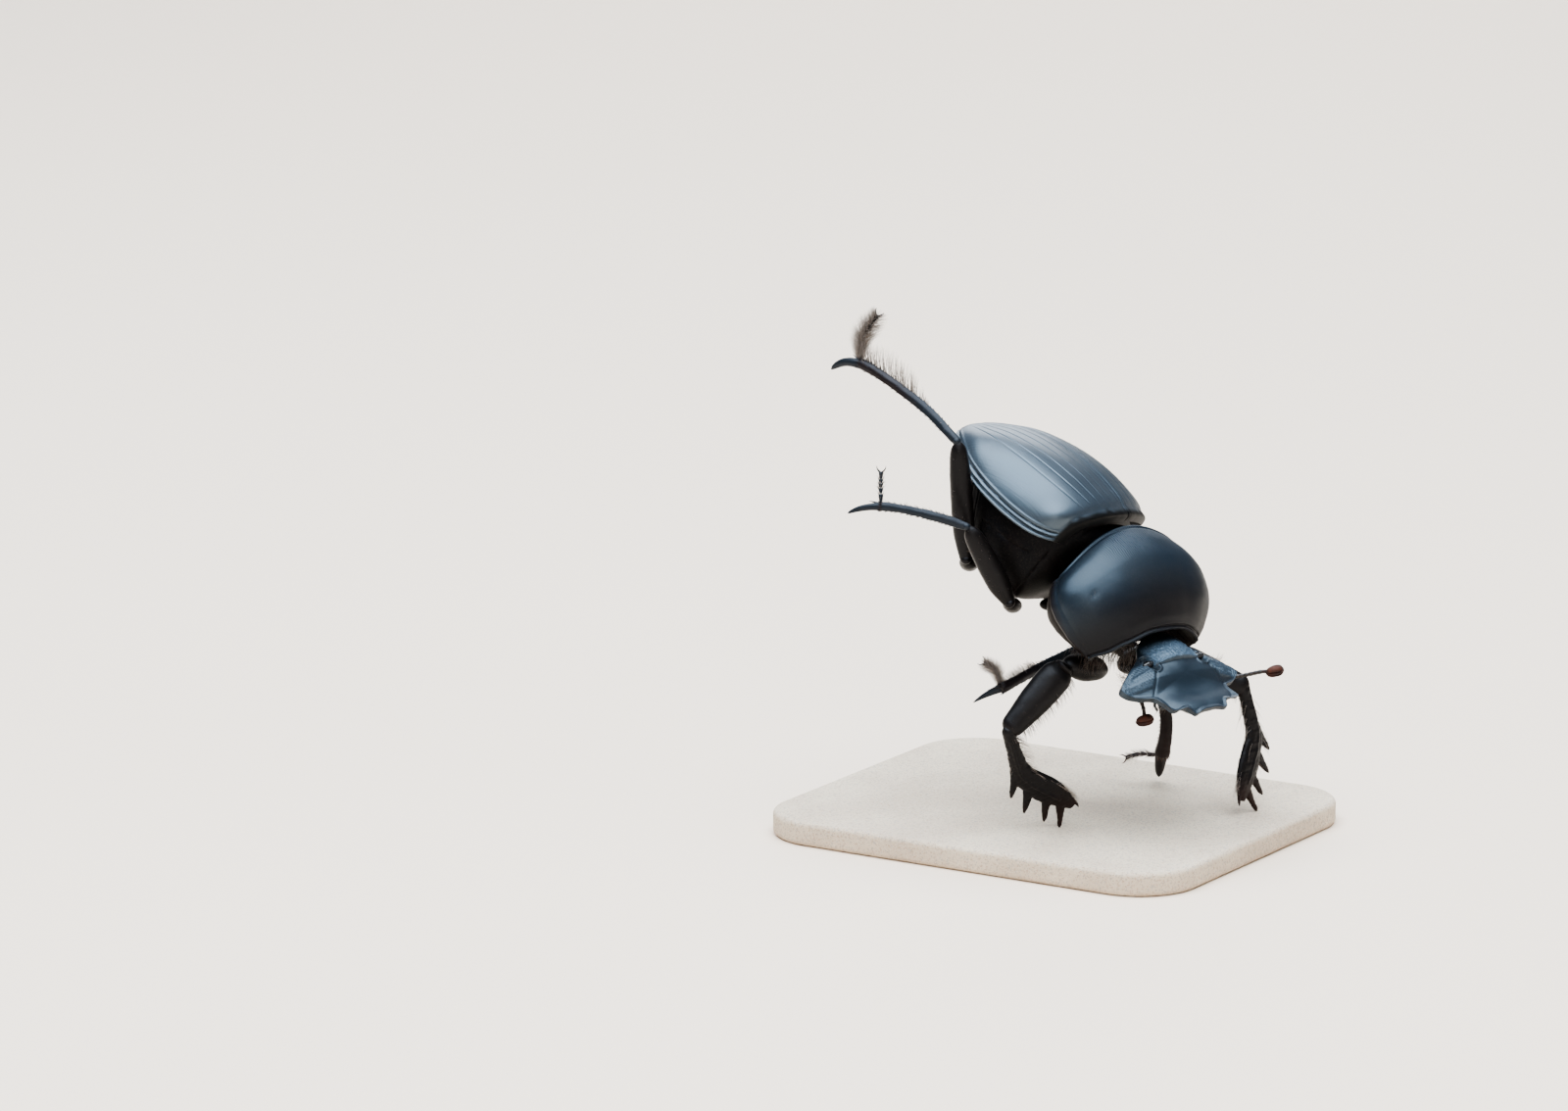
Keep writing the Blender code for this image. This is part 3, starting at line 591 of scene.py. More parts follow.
def makeElytron(side, sign):
    u = np.unique(np.concatenate([np.linspace(0, 1, 120), [0.002, 0.005, 0.009, 0.013]]))
    s = [np.linspace(0, 1, 70), np.linspace(0, 0.05, 9), np.linspace(0.88, 1, 34)]
    s += [c + np.linspace(-0.014, 0.014, 7) for c in elytra["striae"]]
    s = np.unique(np.round(np.concatenate(s), 5))
    x = (elytra["length"] * np.sin(0.5 * math.pi * u))[:, None]
    fine = np.linspace(0, 0.5 * math.pi, elytra["archSteps"])
    run = np.zeros((len(u), len(fine)))
    trial = elytronPoints(x + 0 * fine, np.broadcast_to(fine, run.shape), 0.0)
    run[:, 1:] = np.cumsum(np.linalg.norm(np.diff(trial, axis=1), axis=2), axis=1)
    total = run[:, -1:]
    a = np.array([np.interp(s * total[i, 0], run[i], fine) for i in range(len(u))])
    length = elytra["length"]
    ends = np.minimum(x, length - x)
    rounding = np.clip(elytra["edgeRound"] - ends, 0, None)
    depth = elytra["edgeRound"] - np.sqrt(np.maximum(elytra["edgeRound"] ** 2 - rounding ** 2, 0))
    outer = elytronPoints(x + 0 * a, a, depth + 0 * a)
    normals = gridNormals(outer, False)
    normals *= np.where(normals[..., 2:].mean() > 0, 1, -1)
    across, fromEdge = s * total, (1 - s) * total
    fade = smooth(0.3, 2.2, x) * smooth(0.2, 2.6, length - x)
    lift = np.zeros_like(a)
    for c in elytra["striae"]:
        lift -= elytra["striaDepth"] * ridge(across, c * total, elytra["striaWidth"]) * fade
    lift += 0.035 * ridge(across, 0.16, 0.10) - 0.05 * ridge(across, 0.38, 0.07)
    for middle, height, width in elytra["keels"]:
        lift += height * ridge(fromEdge, middle, width) * smooth(0.15, 0.8, x) * (
            0.35 + 0.65 * smooth(0.0, 1.5, length - x))
    for height, back, backReach, inward, inwardReach in elytra["knobs"]:               # shoulder, hind end
        lift += height * np.exp(-((x - back) / backReach) ** 2 - ((fromEdge - inward) / inwardReach) ** 2)
    lift -= 0.10 * ridge(x, 0.75, 0.30) * smooth(0.6, 1.6, fromEdge)                   # furrow at the base
    lift += 0.05 * ripple(outer, 5.0, 3) * smooth(0.5, 3, fromEdge)
    lift += 0.012 * ripple(outer, 1.1, 4) * (1 - smooth(0.5, 3.0, x))
    outer = outer + normals * lift[..., None]
    inner = elytronPoints(x + 0 * a, a, elytra["thickness"] + 0 * a)
    mirror = np.array([1, sign, 1])
    rings = np.concatenate([outer, inner[:, ::-1]], axis=1)
    lay = np.stack([x + 0 * a, across, 0 * a], -1)
    lay = np.concatenate([lay, lay[:, ::-1]], axis=1)
    dusty = 0.10 * (1 - smooth(0.3, 1.6, x)) * smooth(0.8, 2.5, fromEdge)
    dusty = dusty + 0.06 * ridge(fromEdge, 0.42, 0.12) + 0 * a
    dusty = np.concatenate([dusty, 0 * dusty], axis=1)
    verts, faces = tube(moved(rings * mirror, hindFrame), shell=True)
    # painted shade: the base, where it meets the prothorax, and all of the inside get the near-black shader
    # with little shine
    black = 1 - smooth(0.30, 0.75, x + 0.12 * ripple(outer, 0.9, 6)) * np.ones_like(a)
    black = np.concatenate([black, 1 + 0 * black], axis=1)
    shape = Shape().add(verts, faces, lay, dust=dusty, dull=black)
    shape.make("elytron" + side, "elytra", "shell", ("elytron_" + side.lower(),))


for side, sign in (("Left", 1), ("Right", -1)):
    makeElytron(side, sign)
print("elytra made")


trunk = {
    "sections": (  # distance behind the joint, share of the elytra's width, keel height
        (-2.4, 0.60, -3.2), (-0.6, 0.70, -4.7), (0.3, 0.88, -6.0), (2.0, 0.93, -8.3), (5.0, 0.96, -9.0),
        (9.0, 0.96, -8.3), (12.0, 0.94, -7.0), (16.3, 0.86, -6.0)),
    "split": 8.8, "end": 14.5, "lean": 0.62, "clearance": 0.3,
    "bands": (9.9, 11.0, 12.0, 12.9, 13.7),          # seams between the belly plates
    "tail": (  # how far the last plate goes back, share of the last section
        (0.12, 0.86), (0.30, 0.90), (0.48, 0.915), (0.66, 0.905), (0.84, 0.87), (0.98, 0.82), (1.10, 0.75),
        (1.22, 0.66), (1.32, 0.55), (1.40, 0.43), (1.45, 0.30), (1.48, 0.16), (1.49, 0.06)),
}


def trunkRings(x, sides):
    # sections under the elytra's inside, down to the keel
    share, keel = curve(trunk["sections"], x)
    width, crest, margin = curve(elytra["sections"], np.maximum(x, 0))
    top = np.maximum(crest - elytra["thickness"] - trunk["clearance"] - 0.2, margin + 0.3)
    top = np.where(x < 0.3, 1.7 + 0.5 * smooth(-1.2, -0.6, x), top)
    w = ((width - elytra["thickness"] - 1.6 * trunk["clearance"]) * share)[:, None]
    top, keel, margin = top[:, None], keel[:, None], margin[:, None]
    a = np.linspace(0, 2 * math.pi, sides, endpoint=False)[None]
    c, s = np.cos(a), np.sin(a)
    upper = s >= 0
    y = w * np.abs(c) ** np.where(upper, 0.8, 0.55) * np.sign(c)
    z = np.where(upper, margin + (top - margin) * np.abs(s) ** 0.9,
                 margin + (keel - margin) * np.abs(s) ** 0.85)
    lean = trunk["lean"] * np.clip((x[:, None] - 4) / 8, 0, 1)
    return np.stack([-x[:, None] - 0.4 - lean * (z - margin) * (z < margin), y, z], -1)


def carve(rings, lift):
    normals = gridNormals(rings, True)
    outward = rings - rings.mean(axis=1, keepdims=True)
    normals *= np.sign((normals * outward).sum())
    return rings + normals * lift[..., None]


def makeTrunk():
    sides = 200
    x = np.unique(np.concatenate([np.linspace(-2.4, trunk["split"], 110), [2.45, 2.5, 2.55]]))
    rings = trunkRings(x, sides)
    low = rings[..., 2] < -1.6
    y, z, along = rings[..., 1], rings[..., 2], -rings[..., 0]
    lift = -0.10 * ridge(y, 0, 0.10) * low * smooth(3.0, 4.5, x[:, None])               # middle line
    lift -= 0.12 * ridge(along + 0.35 * np.abs(y), 4.2, 0.12) * low                     # middle to hind breast
    lift -= 0.12 * ridge(z, -3.1 - 0.10 * (x[:, None] - 2), 0.10) * smooth(1.2, 2.4, x[:, None])   # side plate
    lift += 0.08 * ridge(z, -2.75 - 0.10 * (x[:, None] - 2), 0.16) * smooth(1.2, 2.4, x[:, None])
    lift += 0.03 * ripple(rings, 2.4, 11)
    rings = carve(rings, lift)
    verts, faces = tube(moved(rings, hindFrame))
    reddish = padded(0.3 * smooth(-5.0, -8.0, z) + 0.1 * ripple(rings, 4.0, 5) ** 2, verts)
    shape = Shape().add(verts, faces, tone=reddish, dust=0.04)
    shape.make("breastPlates", "underside", "underside", ("rear_thorax",))

    x = np.linspace(trunk["split"], trunk["end"], 120)
    rings = trunkRings(x, sides)
    y, z = rings[..., 1], rings[..., 2]
    lift = np.zeros(rings.shape[:2])
    for seam in trunk["bands"]:
        bow = seam + 0.012 * np.abs(y) ** 2 * 0.5
        lift -= 0.15 * ridge(x[:, None], bow, 0.10)
        lift += 0.05 * ridge(x[:, None], bow - 0.3, 0.22)
    lift += 0.02 * ripple(rings, 1.6, 12)
    rings = carve(rings, lift)
    verts, faces = tube(moved(rings, hindFrame))
    shape = Shape().add(verts, faces, tone=padded(0.25 * smooth(-3.5, -6.5, z), verts), dust=0.04)
    shape.make("bellyPlates", "underside", "underside", ("abdomen",))

    last = trunkRings(np.array([trunk["end"]]), sides)[0]
    middle = last.mean(axis=0)
    plate = np.array([middle + (last - middle) * share - np.array([back, 0, 0])
                      for back, share in trunk["tail"]])
    away = np.array([share for _, share in trunk["tail"]])[:, None]
    plate[..., 0] -= 0.05 * ridge(away, 0.80, 0.05) - 0.06 * ridge(away, 0.70, 0.05)
    verts, faces = tube(moved(plate, hindFrame))
    Shape().add(verts, faces, tone=0.1, dust=0.1).make("tailPlate", "underside", "underside", ("pygidium",))


makeTrunk()
print("trunk made")


prothorax = {
    "length": 10.2, "baseBow": 2.5, "baseMiddle": 0.5, "frontAngle": -0.7, "breastShort": 3.0,
    "sections": (  # share of the length, half width, crest, margin, underside, power of the arch
        (0.0, 8.1, 3.5, -0.8, -4.9, 0.85), (0.2, 9.2, 4.18, -1.1, -5.7, 0.85),
        (0.4, 9.5, 4.42, -1.4, -6.0, 0.85), (0.7, 8.95, 3.85, -1.75, -5.4, 0.92),
        (0.9, 7.95, 2.75, -2.05, -4.7, 1.25), (1.0, 7.2, 1.8, -2.3, -4.3, 1.8)),
    "bead": 0.07, "pit": (0.50, 0.80, 0.07),
    # both ends go on as smaller rings that close the gaps there, coloured as painted shade: share of the end's
    # size, how far they lie ahead of it
    "membrane": ((0.05, 0.55), (0.25, 0.62), (0.50, 0.80), (0.72, 1.05), (0.85, 1.20), (0.90, 0.95),
                 (0.925, 0.30), (0.945, 0.06), (0.975, -0.02)),
    "collar": ((0.965, 0.02), (0.92, -0.10), (0.87, -0.40), (0.80, -1.2), (0.72, -2.3)),
}


def prothoraxPoints(t, a):
    width, crest, margin, keel, power = curve(prothorax["sections"], t.ravel()).reshape(5, *t.shape)
    c, s = np.cos(a), np.sin(a)
    under = np.clip(-s, 0, 1)
    step = smooth(0.0, 0.05, under)
    y = width * c * np.where(s < 0, (1 - 0.05 * step) * np.abs(c) ** 0.3, 1)
    z = np.where(s < 0, margin - 0.35 * step + (keel - margin + 0.35) * under,
                 margin + (crest - margin) * np.clip(s, 0, 1) ** power)
    side = np.minimum(1, np.abs(y) / width)
    back = prothorax["baseBow"] * side ** 2 - prothorax["baseMiddle"] * (1 - under) + 0.8 * under
    front = prothorax["length"] + prothorax["frontAngle"] * side ** 2.5 - prothorax["breastShort"] * under
    front = (front + 0.22 * ridge(side, 0.84, 0.12) * (1 - under)
             - 0.34 * (1 - smooth(0.30, 0.66, side)) * (1 - under))
    return np.stack([back + t * (front - back), y, z], -1)


def makeProthorax():
    t = np.unique(np.concatenate([np.linspace(0, 1, 110), np.linspace(0, 0.06, 12), np.linspace(0.93, 1, 34)]))
    fine = np.linspace(-0.35, 0.35, 31)
    a = np.unique(np.round(np.concatenate([np.linspace(0, 2 * math.pi, 150, endpoint=False),
                                           (fine * np.abs(fine)) % (2 * math.pi),
                                           fine * np.abs(fine) + math.pi]), 6))
    tt, aa = np.meshgrid(t, a, indexing="ij")
    rings = prothoraxPoints(tt, aa)
    length = prothorax["length"]
    above = smooth(-0.10, 0.12, np.sin(aa))
    fromFront, fromBase = (1 - tt) * length, tt * length
    width = curve(prothorax["sections"], t)[0][:, None]
    side = np.abs(rings[..., 1]) / width
    bead = prothorax["bead"]
    edge = np.abs(np.sin(aa)) * 4.5
    lift = bead * ridge(edge, 0.0, 0.22) - 0.07 * ridge(edge, 0.55, 0.16) * above
    lift += above * (0.10 * ridge(fromFront, 0.07, 0.07) - 0.10 * ridge(fromFront, 0.22, 0.07)
                     + 0.02 * ridge(fromFront, 0.38, 0.10))
    lift += above * (0.04 * ridge(fromBase, 0.12, 0.10) - 0.05 * ridge(fromBase, 0.35, 0.10))
    pitAlong, pitAcross, pitSize = prothorax["pit"]
    pit = np.exp(-((tt - pitAlong) / 0.045) ** 2 - ((side - pitAcross) / 0.035) ** 2) * above
    lift -= pitSize * pit
    lift += 0.045 * ripple(rings, 5.5, 21) + 0.012 * ripple(rings, 1.6, 22)
    under = 1 - above
    lift -= 0.14 * ridge(np.abs(rings[..., 1]), 3.6 + 1.6 * tt, 0.14) * under           # breast to side plate
    lift += 0.10 * ridge(rings[..., 1], 0, 0.35) * under * smooth(0.3, 0.9, tt)
    lift += 0.03 * ripple(rings, 1.3, 23) * under
    rings = carve(rings, lift)
    wrinkle = above * np.exp(-((fromBase - 1.4) / 2.3) ** 2) * np.exp(-((rings[..., 1] + 0.8) / 3.4) ** 2)
    red = under * (0.35 + 0.5 * smooth(0.5, 0.9, side))
    # painted shade: the underside, the front part of the top and the rings at both ends get the dark shader
    # with little shine
    shadeCover = np.maximum(under, 0.80 * smooth(0.35, 0.92, tt) * (1 - 0.5 * smooth(0.985, 1.0, tt)))

    def hollow(ring, share, along):
        drawn = ring.mean(axis=0) + (ring - ring.mean(axis=0)) * share
        middle = ring[:, 0].mean()
        drawn[:, 0] = middle + (ring[:, 0] - middle) * smooth(0.2, 0.9, share) + along
        return drawn
    first, last = rings[0], rings[-1]
    inner = [hollow(first, share, along) for share, along in prothorax["membrane"]]
    outer = [hollow(last, share, along) for share, along in prothorax["collar"]]
    rings = np.concatenate([np.array(inner), rings, np.array(outer)])

    def spread(value, ends=0.0):
        full = np.full(rings.shape[:2], ends)
        full[len(inner):-len(outer)] = value
        return full
    verts, faces = tube(moved(rings, frontFrame))
    ends = np.zeros((2, 3))
    fullLay = np.vstack([rings.reshape(-1, 3), ends])
    dusty = spread(0.03 * above + 0.1 * pit)
    shape = Shape().add(verts, faces, fullLay, tone=padded(spread(red), verts), dust=padded(dusty, verts),
                        wrinkle=padded(spread(wrinkle), verts), dull=padded(spread(shadeCover, 1.0), verts))
    shape.make("prothoraxShell", "pronotum", "shell", ("prothorax",))


makeProthorax()
print("prothorax made")


headLook = {
    "middle": 4.2, "dome": 1.6, "rim": 0.55, "slant": 0.06,
    "outline": (  # angle from straight ahead, radius of the shield
        (0.0, 4.40), (8.0, 4.46), (15.0, 4.66), (19.0, 4.90), (22.4, 5.02), (26.0, 4.86), (30.0, 4.60),
        (34.0, 4.56), (40.0, 4.90), (44.5, 5.34), (48.3, 5.52), (52.0, 5.34), (57.0, 5.02),
        (63.0, 4.78), (69.0, 4.72),
        (72.0, 4.90), (77.0, 5.55), (82.0, 6.15), (86.5, 6.62), (90.5, 6.84), (94.0, 6.62), (99.0, 6.10),
        (105.0, 5.62), (112.0, 5.15), (121.0, 4.7), (133.0, 4.5), (146.0, 4.8), (162.0, 5.2), (180.0, 5.3)),
    "plain": ((0.0, 4.55), (45.0, 4.95), (69.0, 4.85), (75.0, 5.3), (90.5, 6.84)),     # without its teeth
    "turnUp": (4.8, 8.7, 1.20), "droop": 0.42,     # front edge turned up, cheeks hanging
    "brow": 2.72, "eye": (0.72, 0.36, 0.40), "eyeShift": (0.05, 0.22, 0.20),
    "seam": ((3.05, 2.72), (5.75, 4.30)), "seamSlope": 0.585,      # front plate to cheek
    "canthus": ((3.12, 3.05), (3.45, 5.2)),    # keel behind the front of the eye
    "slit": ((1.75, 3.02), (2.95, 2.86)),      # eye opening
    "ribs": 0.27, "ribHeight": 0.042,
}


def headRadius(angle, toothed=True):
    angle = np.abs((angle + 180.0) % 360.0 - 180.0)
    radius = curve(headLook["outline"], angle.ravel())[0].reshape(angle.shape)
    if toothed:
        return radius
    even = curve(headLook["plain"], angle.ravel())[0].reshape(angle.shape)
    return np.where(angle < headLook["plain"][-1][0], even, radius)


def segmentDistance(x, y, start, end):
    ax, ay = start
    bx, by = end
    t = np.clip(((x - ax) * (bx - ax) + (y - ay) * (by - ay)) / ((bx - ax) ** 2 + (by - ay) ** 2), 0, 1)
    return np.hypot(x - ax - t * (bx - ax), y - ay - t * (by - ay))


def makeHead():
    angle = np.linspace(0, 360, 480, endpoint=False)[None]
    top = np.unique(np.concatenate([np.linspace(0.02, 1, 72), np.linspace(0.9, 1, 16)]))[:, None]
    radius, plain = headRadius(angle), headRadius(angle, False)
    folded = np.abs((angle + 180) % 360 - 180)

    def flat(share):
        reach = radius * share
        ahead, across = reach * np.cos(np.radians(angle)), reach * np.sin(np.radians(angle))
        return headLook["middle"] + ahead - headLook["slant"] * across * smooth(0.5, 2.5, ahead), across

    def raised(x, side):
        first, last, height = headLook["turnUp"]
        return (height * smooth(first, last, x)
                - headLook["droop"] * smooth(3.4, 6.8, side) * (1 - smooth(5.0, 6.6, x)))
    x, y = flat(top)
    side = np.abs(y)
    rear = np.clip((6 - x) / 5, 0, 1)
    share = np.minimum(top * radius / plain, 1)
    z = headLook["dome"] * (1 - share ** 2) * (0.75 + 0.25 * rear)
    ahead = 1 - smooth(60, 70, folded)
    brow = x - headLook["brow"]
    seam = segmentDistance(x, side, *headLook["seam"])
    slit = segmentDistance(x, side, *headLook["slit"])
    seamAhead, seamAside = headLook["seam"][0]
    beyond = (side - seamAside) - (x - seamAhead) * headLook["seamSlope"]           # outside the seam
    forehead = (1 - smooth(-0.14, 0.14, brow)) * (1 - smooth(2.45, 2.85, side))
    band = forehead * smooth(0.0, 0.8, x)
    cheek = smooth(0.12, 0.40, beyond) * smooth(3.0, 3.3, side) * smooth(1.9, 2.3, x) * (
        1 - smooth(4.9, 5.2, x + 0.05 * side))
    z = z + forehead * (0.12 + 0.22 * np.exp(-(side / 1.9) ** 4))                   # raised forehead
    z = z + 0.09 * ridge(brow, -0.04, 0.16) * (1 - smooth(2.2, 2.9, side))
    z = z + raised(x, side)
    z = z - 0.62 * np.exp(-((x - 6.0) / 1.75) ** 2 - (side / 2.9) ** 2)             # dished front plate
    z = z + 0.16 * smooth(0.90, 1.0, top) * ahead
    z = z - 0.06 * ridge(seam, 0, 0.09)
    z = z + 0.07 * cheek + headLook["ribHeight"] * cheek * np.sin(
        2 * math.pi * (side + 0.30 * x) / headLook["ribs"]) * smooth(0.99, 0.93, top)
    z = z + 0.10 * ridge(segmentDistance(x, side, *headLook["canthus"]), 0, 0.16) * smooth(0.99, 0.9, top)
    z = z + 0.16 * smooth(0.90, 1.0, top) * (1 - ahead) * smooth(2.2, 3.0, x)       # turned-up cheek edge
    z = z - 0.50 * ridge(slit, 0, 0.30) + 0.13 * ridge(slit, 0.56, 0.13)
    points = np.stack([x, y, z], -1)
    grit = 0.030 * ripple(points, 0.55, 31) + 0.030 * ripple(points, 0.30, 32, 13)
    z = z + grit * band + 0.012 * ripple(points, 0.5, 35) * cheek + 0.008 * ripple(points, 1.6, 33)
    low = np.unique(np.concatenate([np.linspace(0.02, 1, 26), [0.96, 0.98, 0.99]]))[::-1][:, None]
    lowX, lowY = flat(low)
    lowRear = np.clip((6 - lowX) / 5, 0, 1)
    lowZ = -headLook["rim"] - (1 - low ** 2.2) * (0.9 + 1.7 * lowRear)
    lowZ = (lowZ + 0.25 * smooth(0.86, 1.0, low) * (0.5 + 0.5 * ahead)
            + raised(lowX, np.abs(lowY)) * smooth(0.3, 0.9, low))
    lowZ = lowZ + 0.30 * ridge(np.abs(lowY), 3.2, 0.5) * smooth(0.3, 0.7, low)
    under = np.stack([lowX, lowY, lowZ], -1)
    under[..., 2] += 0.05 * ripple(under, 1.5, 34)
    rings = np.concatenate([np.stack([x, y, z], -1), under])
    # granulate areas: knobs in the relief, and the painted sheen of the pale colour
    granule = np.concatenate([band + 0.35 * cheek, 0.2 + 0 * lowX])
    # painted shade: the dished middle of the front plate gets the dark shader with little shine
    dark = 0.85 * np.exp(-((x - 5.5) / 2.3) ** 2 - (side / 3.0) ** 2) * smooth(0.0, 0.35, brow) * (top < 0.995)
    dark = np.concatenate([dark, 0 * lowX])
    red = np.concatenate([0.05 + 0.8 * smooth(0.985, 1.0, top) * ahead + 0 * x, 0.9 + 0 * lowX])
    dusty = np.concatenate([0.04 + 0.3 * ridge(slit, 0.1, 0.4) + 0 * x, 0.1 + 0 * lowX])
    verts, faces = tube(moved(rings, headFrame))
    lay = np.vstack([rings.reshape(-1, 3), np.zeros((2, 3))])
    shape = Shape().add(verts, faces, lay, granule=padded(granule, verts), tone=padded(red, verts),
                        dust=padded(dusty, verts), dull=padded(dark, verts))
    mouth(shape)
    shape.make("headShield", "head", "shell", ("head",), edgeAngle=50)


def mouth(shape):
    # lip, jaws and feelers of the mouth, tucked below the shield
    for sign in (1, -1):
        jaw = ball((1.3, 0.55, 0.45), headFrame @ placeMatrix((sign * 28, 12, 0), (4.5, sign * 1.25, -2.0)))
        shape.add(*jaw, tone=0.7)
        path = smoothPath([(4.0, sign * 1.7, -2.2), (4.7, sign * 1.9, -2.7), (5.2, sign * 1.7, -3.0)], 12)
        t = np.linspace(0, 1, len(path))
        swell = 0.16 * (1 - 0.25 * t) * (1 - 0.35 * np.abs(np.cos(3 * math.pi * t)) ** 8)
        shape.add(*tube(moved(rod(path, swell, 1.0, 16, (0.2, 0.3, 1)), headFrame)), tone=0.9)
    shape.add(*ball((1.5, 1.2, 0.5), headFrame @ placeMatrix((0, 15, 0), (3.6, 0, -2.45))), tone=0.6)


makeHead()


def makeEyes():
    back, inward, down = headLook["eyeShift"]                   # from the middle of its own solid
    for side, sign in (("Left", 1), ("Right", -1)):
        middle = nodeMiddle("eye_" + side.lower()) - turned((back, inward * sign, down), headFrame)
        matrix = aimed(middle, turned((0.99, -0.13 * sign, 0.0), headFrame), turned((0, 0, 1), headFrame))
        across, along, high = headLook["eye"]
        verts, faces = ball((along, across, high), matrix, 56, 32)
        Shape().add(verts, faces).make("eye" + side, "eye", "eye", ("eye_" + side.lower(),))


makeEyes()
print("head made")


feelers = {  # in the frame of the head: path of the stem, middle of the club, way of its long side
    "Right": {"stem": ((4.03, -3.45, -2.3), (4.65, -3.39, -2.55), (5.03, -3.41, -2.71)),
              "club": (5.77, -3.46, -3.26), "along": (0.25, 0.79, 0.56)},
    "Left": {"stem": ((3.1, 5.45, -2.26), (3.95, 7.8, -1.5), (4.93, 9.35, 0.09)),
             "club": (5.44, 10.26, 0.58), "along": (0.25, 0.78, 0.54)},
}
stem = {"beadLength": 0.48, "thin": 0.15, "swell": 0.045}
club = {"size": (0.86, 0.52), "leaves": ((-0.31, 0.88), (0.0, 1.0), (0.31, 0.88)), "thick": 0.20}


def makeFeeler(side):
    spec = feelers[side]
    points = moved(spec["stem"], headFrame)
    path = smoothPath(points, 40)
    t = np.linspace(0, 1, len(path))
    beads = round(np.linalg.norm(np.diff(path, axis=0), axis=1).sum() / stem["beadLength"])
    bead = np.sin(math.pi * ((t * beads) % 1.0)) ** 0.6
    radius = stem["thin"] + stem["swell"] * bead * (0.8 + 0.35 * t)
    Shape().add(*tube(rod(path, radius, 1.0, 20))).make(
        "feelerStem" + side, "stem", "feeler", ("antenna_stem_" + side.lower(),))
    middle = moved(spec["club"], headFrame)
    matrix = aimed(middle, turned(spec["along"], headFrame), turned((0, 0.3, 1), headFrame))
    shape = Shape()
    length, wide = club["size"]
    a = np.linspace(0, math.pi, 30)[1:-1, None]
    b = np.linspace(0, 2 * math.pi, 44, endpoint=False)
    for shift, share in club["leaves"]:
        # each leaf is a blunt scale, thin across the stack, its outer face bulging
        x = -np.cos(a) * length * share * np.ones_like(b)
        swell = np.sin(a) ** 0.62 * (0.90 + 0.14 * (x / length))
        y = swell * np.cos(b) * wide * share
        outward = 1 + 0.5 * np.clip(np.sin(b) * np.sign(shift), 0, 1)
        z = swell * np.sin(b) * club["thick"] * outward + shift * (1 - 0.35 * (x / length) ** 2)
        z = z + 0.012 * ripple(np.stack([x, y, z], -1), 0.35, 41)
        verts, faces = tube(moved(np.stack([x, y, z], -1), matrix))
        shape.add(verts, faces, tone=padded(0.8 * np.abs(y / wide) ** 4 + 0.5 * np.abs(x / length) ** 6, verts))
    neckPath = points[2] + np.linspace(-0.1, 0.75, 10)[:, None] * (middle - points[2])
    shape.add(*tube(rod(neckPath, 0.15 + 0.05 * np.linspace(0, 1, 10), 1.0, 16)), tone=0.9)
    shape.make("feelerClub" + side, "club", "feeler_club", ("antenna_club_" + side.lower(),))


for side in feelers:
    makeFeeler(side)
print("feelers made")


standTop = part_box("stand_base")[1][2] / millimetre
foreLegs = {  # coxa and hip in the frame of the prothorax, the rest in the frame of the base
    "Right": {"coxa": (8.7, -1.2, -6.4), "hip": (8.0, -6.4, -5.7), "knee": (2.75, -13.0, 12.5),
              "tip": (4.57, -7.76, 2.9), "face": legFace, "outer": -1},
    "Left": {"coxa": (8.7, 1.2, -6.4), "hip": (8.0, 6.4, -5.7), "knee": (15.8, 7.3, 13.9),
             "tip": (17.4, 7.6, 2.55), "face": (0.98, -0.18, 0.05), "outer": 1},
}
longLegs = {  # coxa and hip in the frame of the hind body, the rest in the frame of the base
    "midRight": {"coxa": (-2.2, -3.4, -8.9), "hip": (-1.4, -7.3, -8.0), "knee": (-1.42, -13.6, 31.0),
                 "bend": (-4.6, -15.0, 32.0), "apex": (-8.96, -16.5, 32.6), "spur": (-11.9, -17.5, 31.8),
                 "tarsus": ((-9.3, -16.0, 34.4), (-9.5, -15.6, 35.6)), "thick": (1.05, 0.38, 0.42),
                 "joint": 0.5, "finish": "longLeg", "hook": 0.08, "taper": 0.45, "footTone": 0.15},
    "midLeft": {"coxa": (-2.2, 3.4, -8.9), "hip": (-1.4, 7.0, -7.9), "knee": (6.6, 7.6, 13.9),
                "bend": (6.4, 9.5, 8.9), "apex": (5.2, 10.9, 5.2), "spur": (4.3, 11.9, 2.8),
                "tarsus": ((3.2, 10.2, 5.2), (1.8, 10.0, 4.7)), "thick": (1.05, 0.5, 0.72),
                "joint": 0.55, "finish": "redLeg", "footTone": 0.30},
    "hindRight": {"coxa": (-7.8, -3.4, -8.8), "hip": (-7.2, -7.5, -7.8), "knee": (-3.8, -11.5, 38.2),
                  "bend": (-8.2, -10.8, 41.1), "apex": (-14.9, -10.5, 44.2), "spur": (-18.0, -10.5, 43.3),
                  "tarsus": ((-14.9, -10.0, 46.4), (-13.6, -9.6, 48.7)), "thick": (1.0, 0.40, 0.50),
                  "joint": 0.55, "finish": "longLeg"},
    "hindLeft": {"coxa": (-7.8, 3.4, -8.8), "hip": (-7.2, 7.0, -7.7), "knee": (-0.14, 7.0, 16.2),
                 "bend": (-2.2, 1.0, 14.75), "apex": (-2.9, -5.0, 13.9), "spur": (-5.63, -5.5, 12.3),
                 "tarsus": ((-3.9, -4.4, 15.3), (-5.2, -4.3, 15.9)), "thick": (1.0, 0.42, 0.50),
                 "joint": 0.8, "finish": "longLeg", "hook": 0.04, "taper": 0.72},
}
legShape = {  # edge is the angle of a shin's ridges; thorns stand on them, the comb round its end
    "stepsPerBend": 26, "sides": 40, "endRound": 0.9, "shinFlat": 0.85, "shinShare": 0.672,
    "edge": 0.6, "thorns": 15, "comb": 12,
}
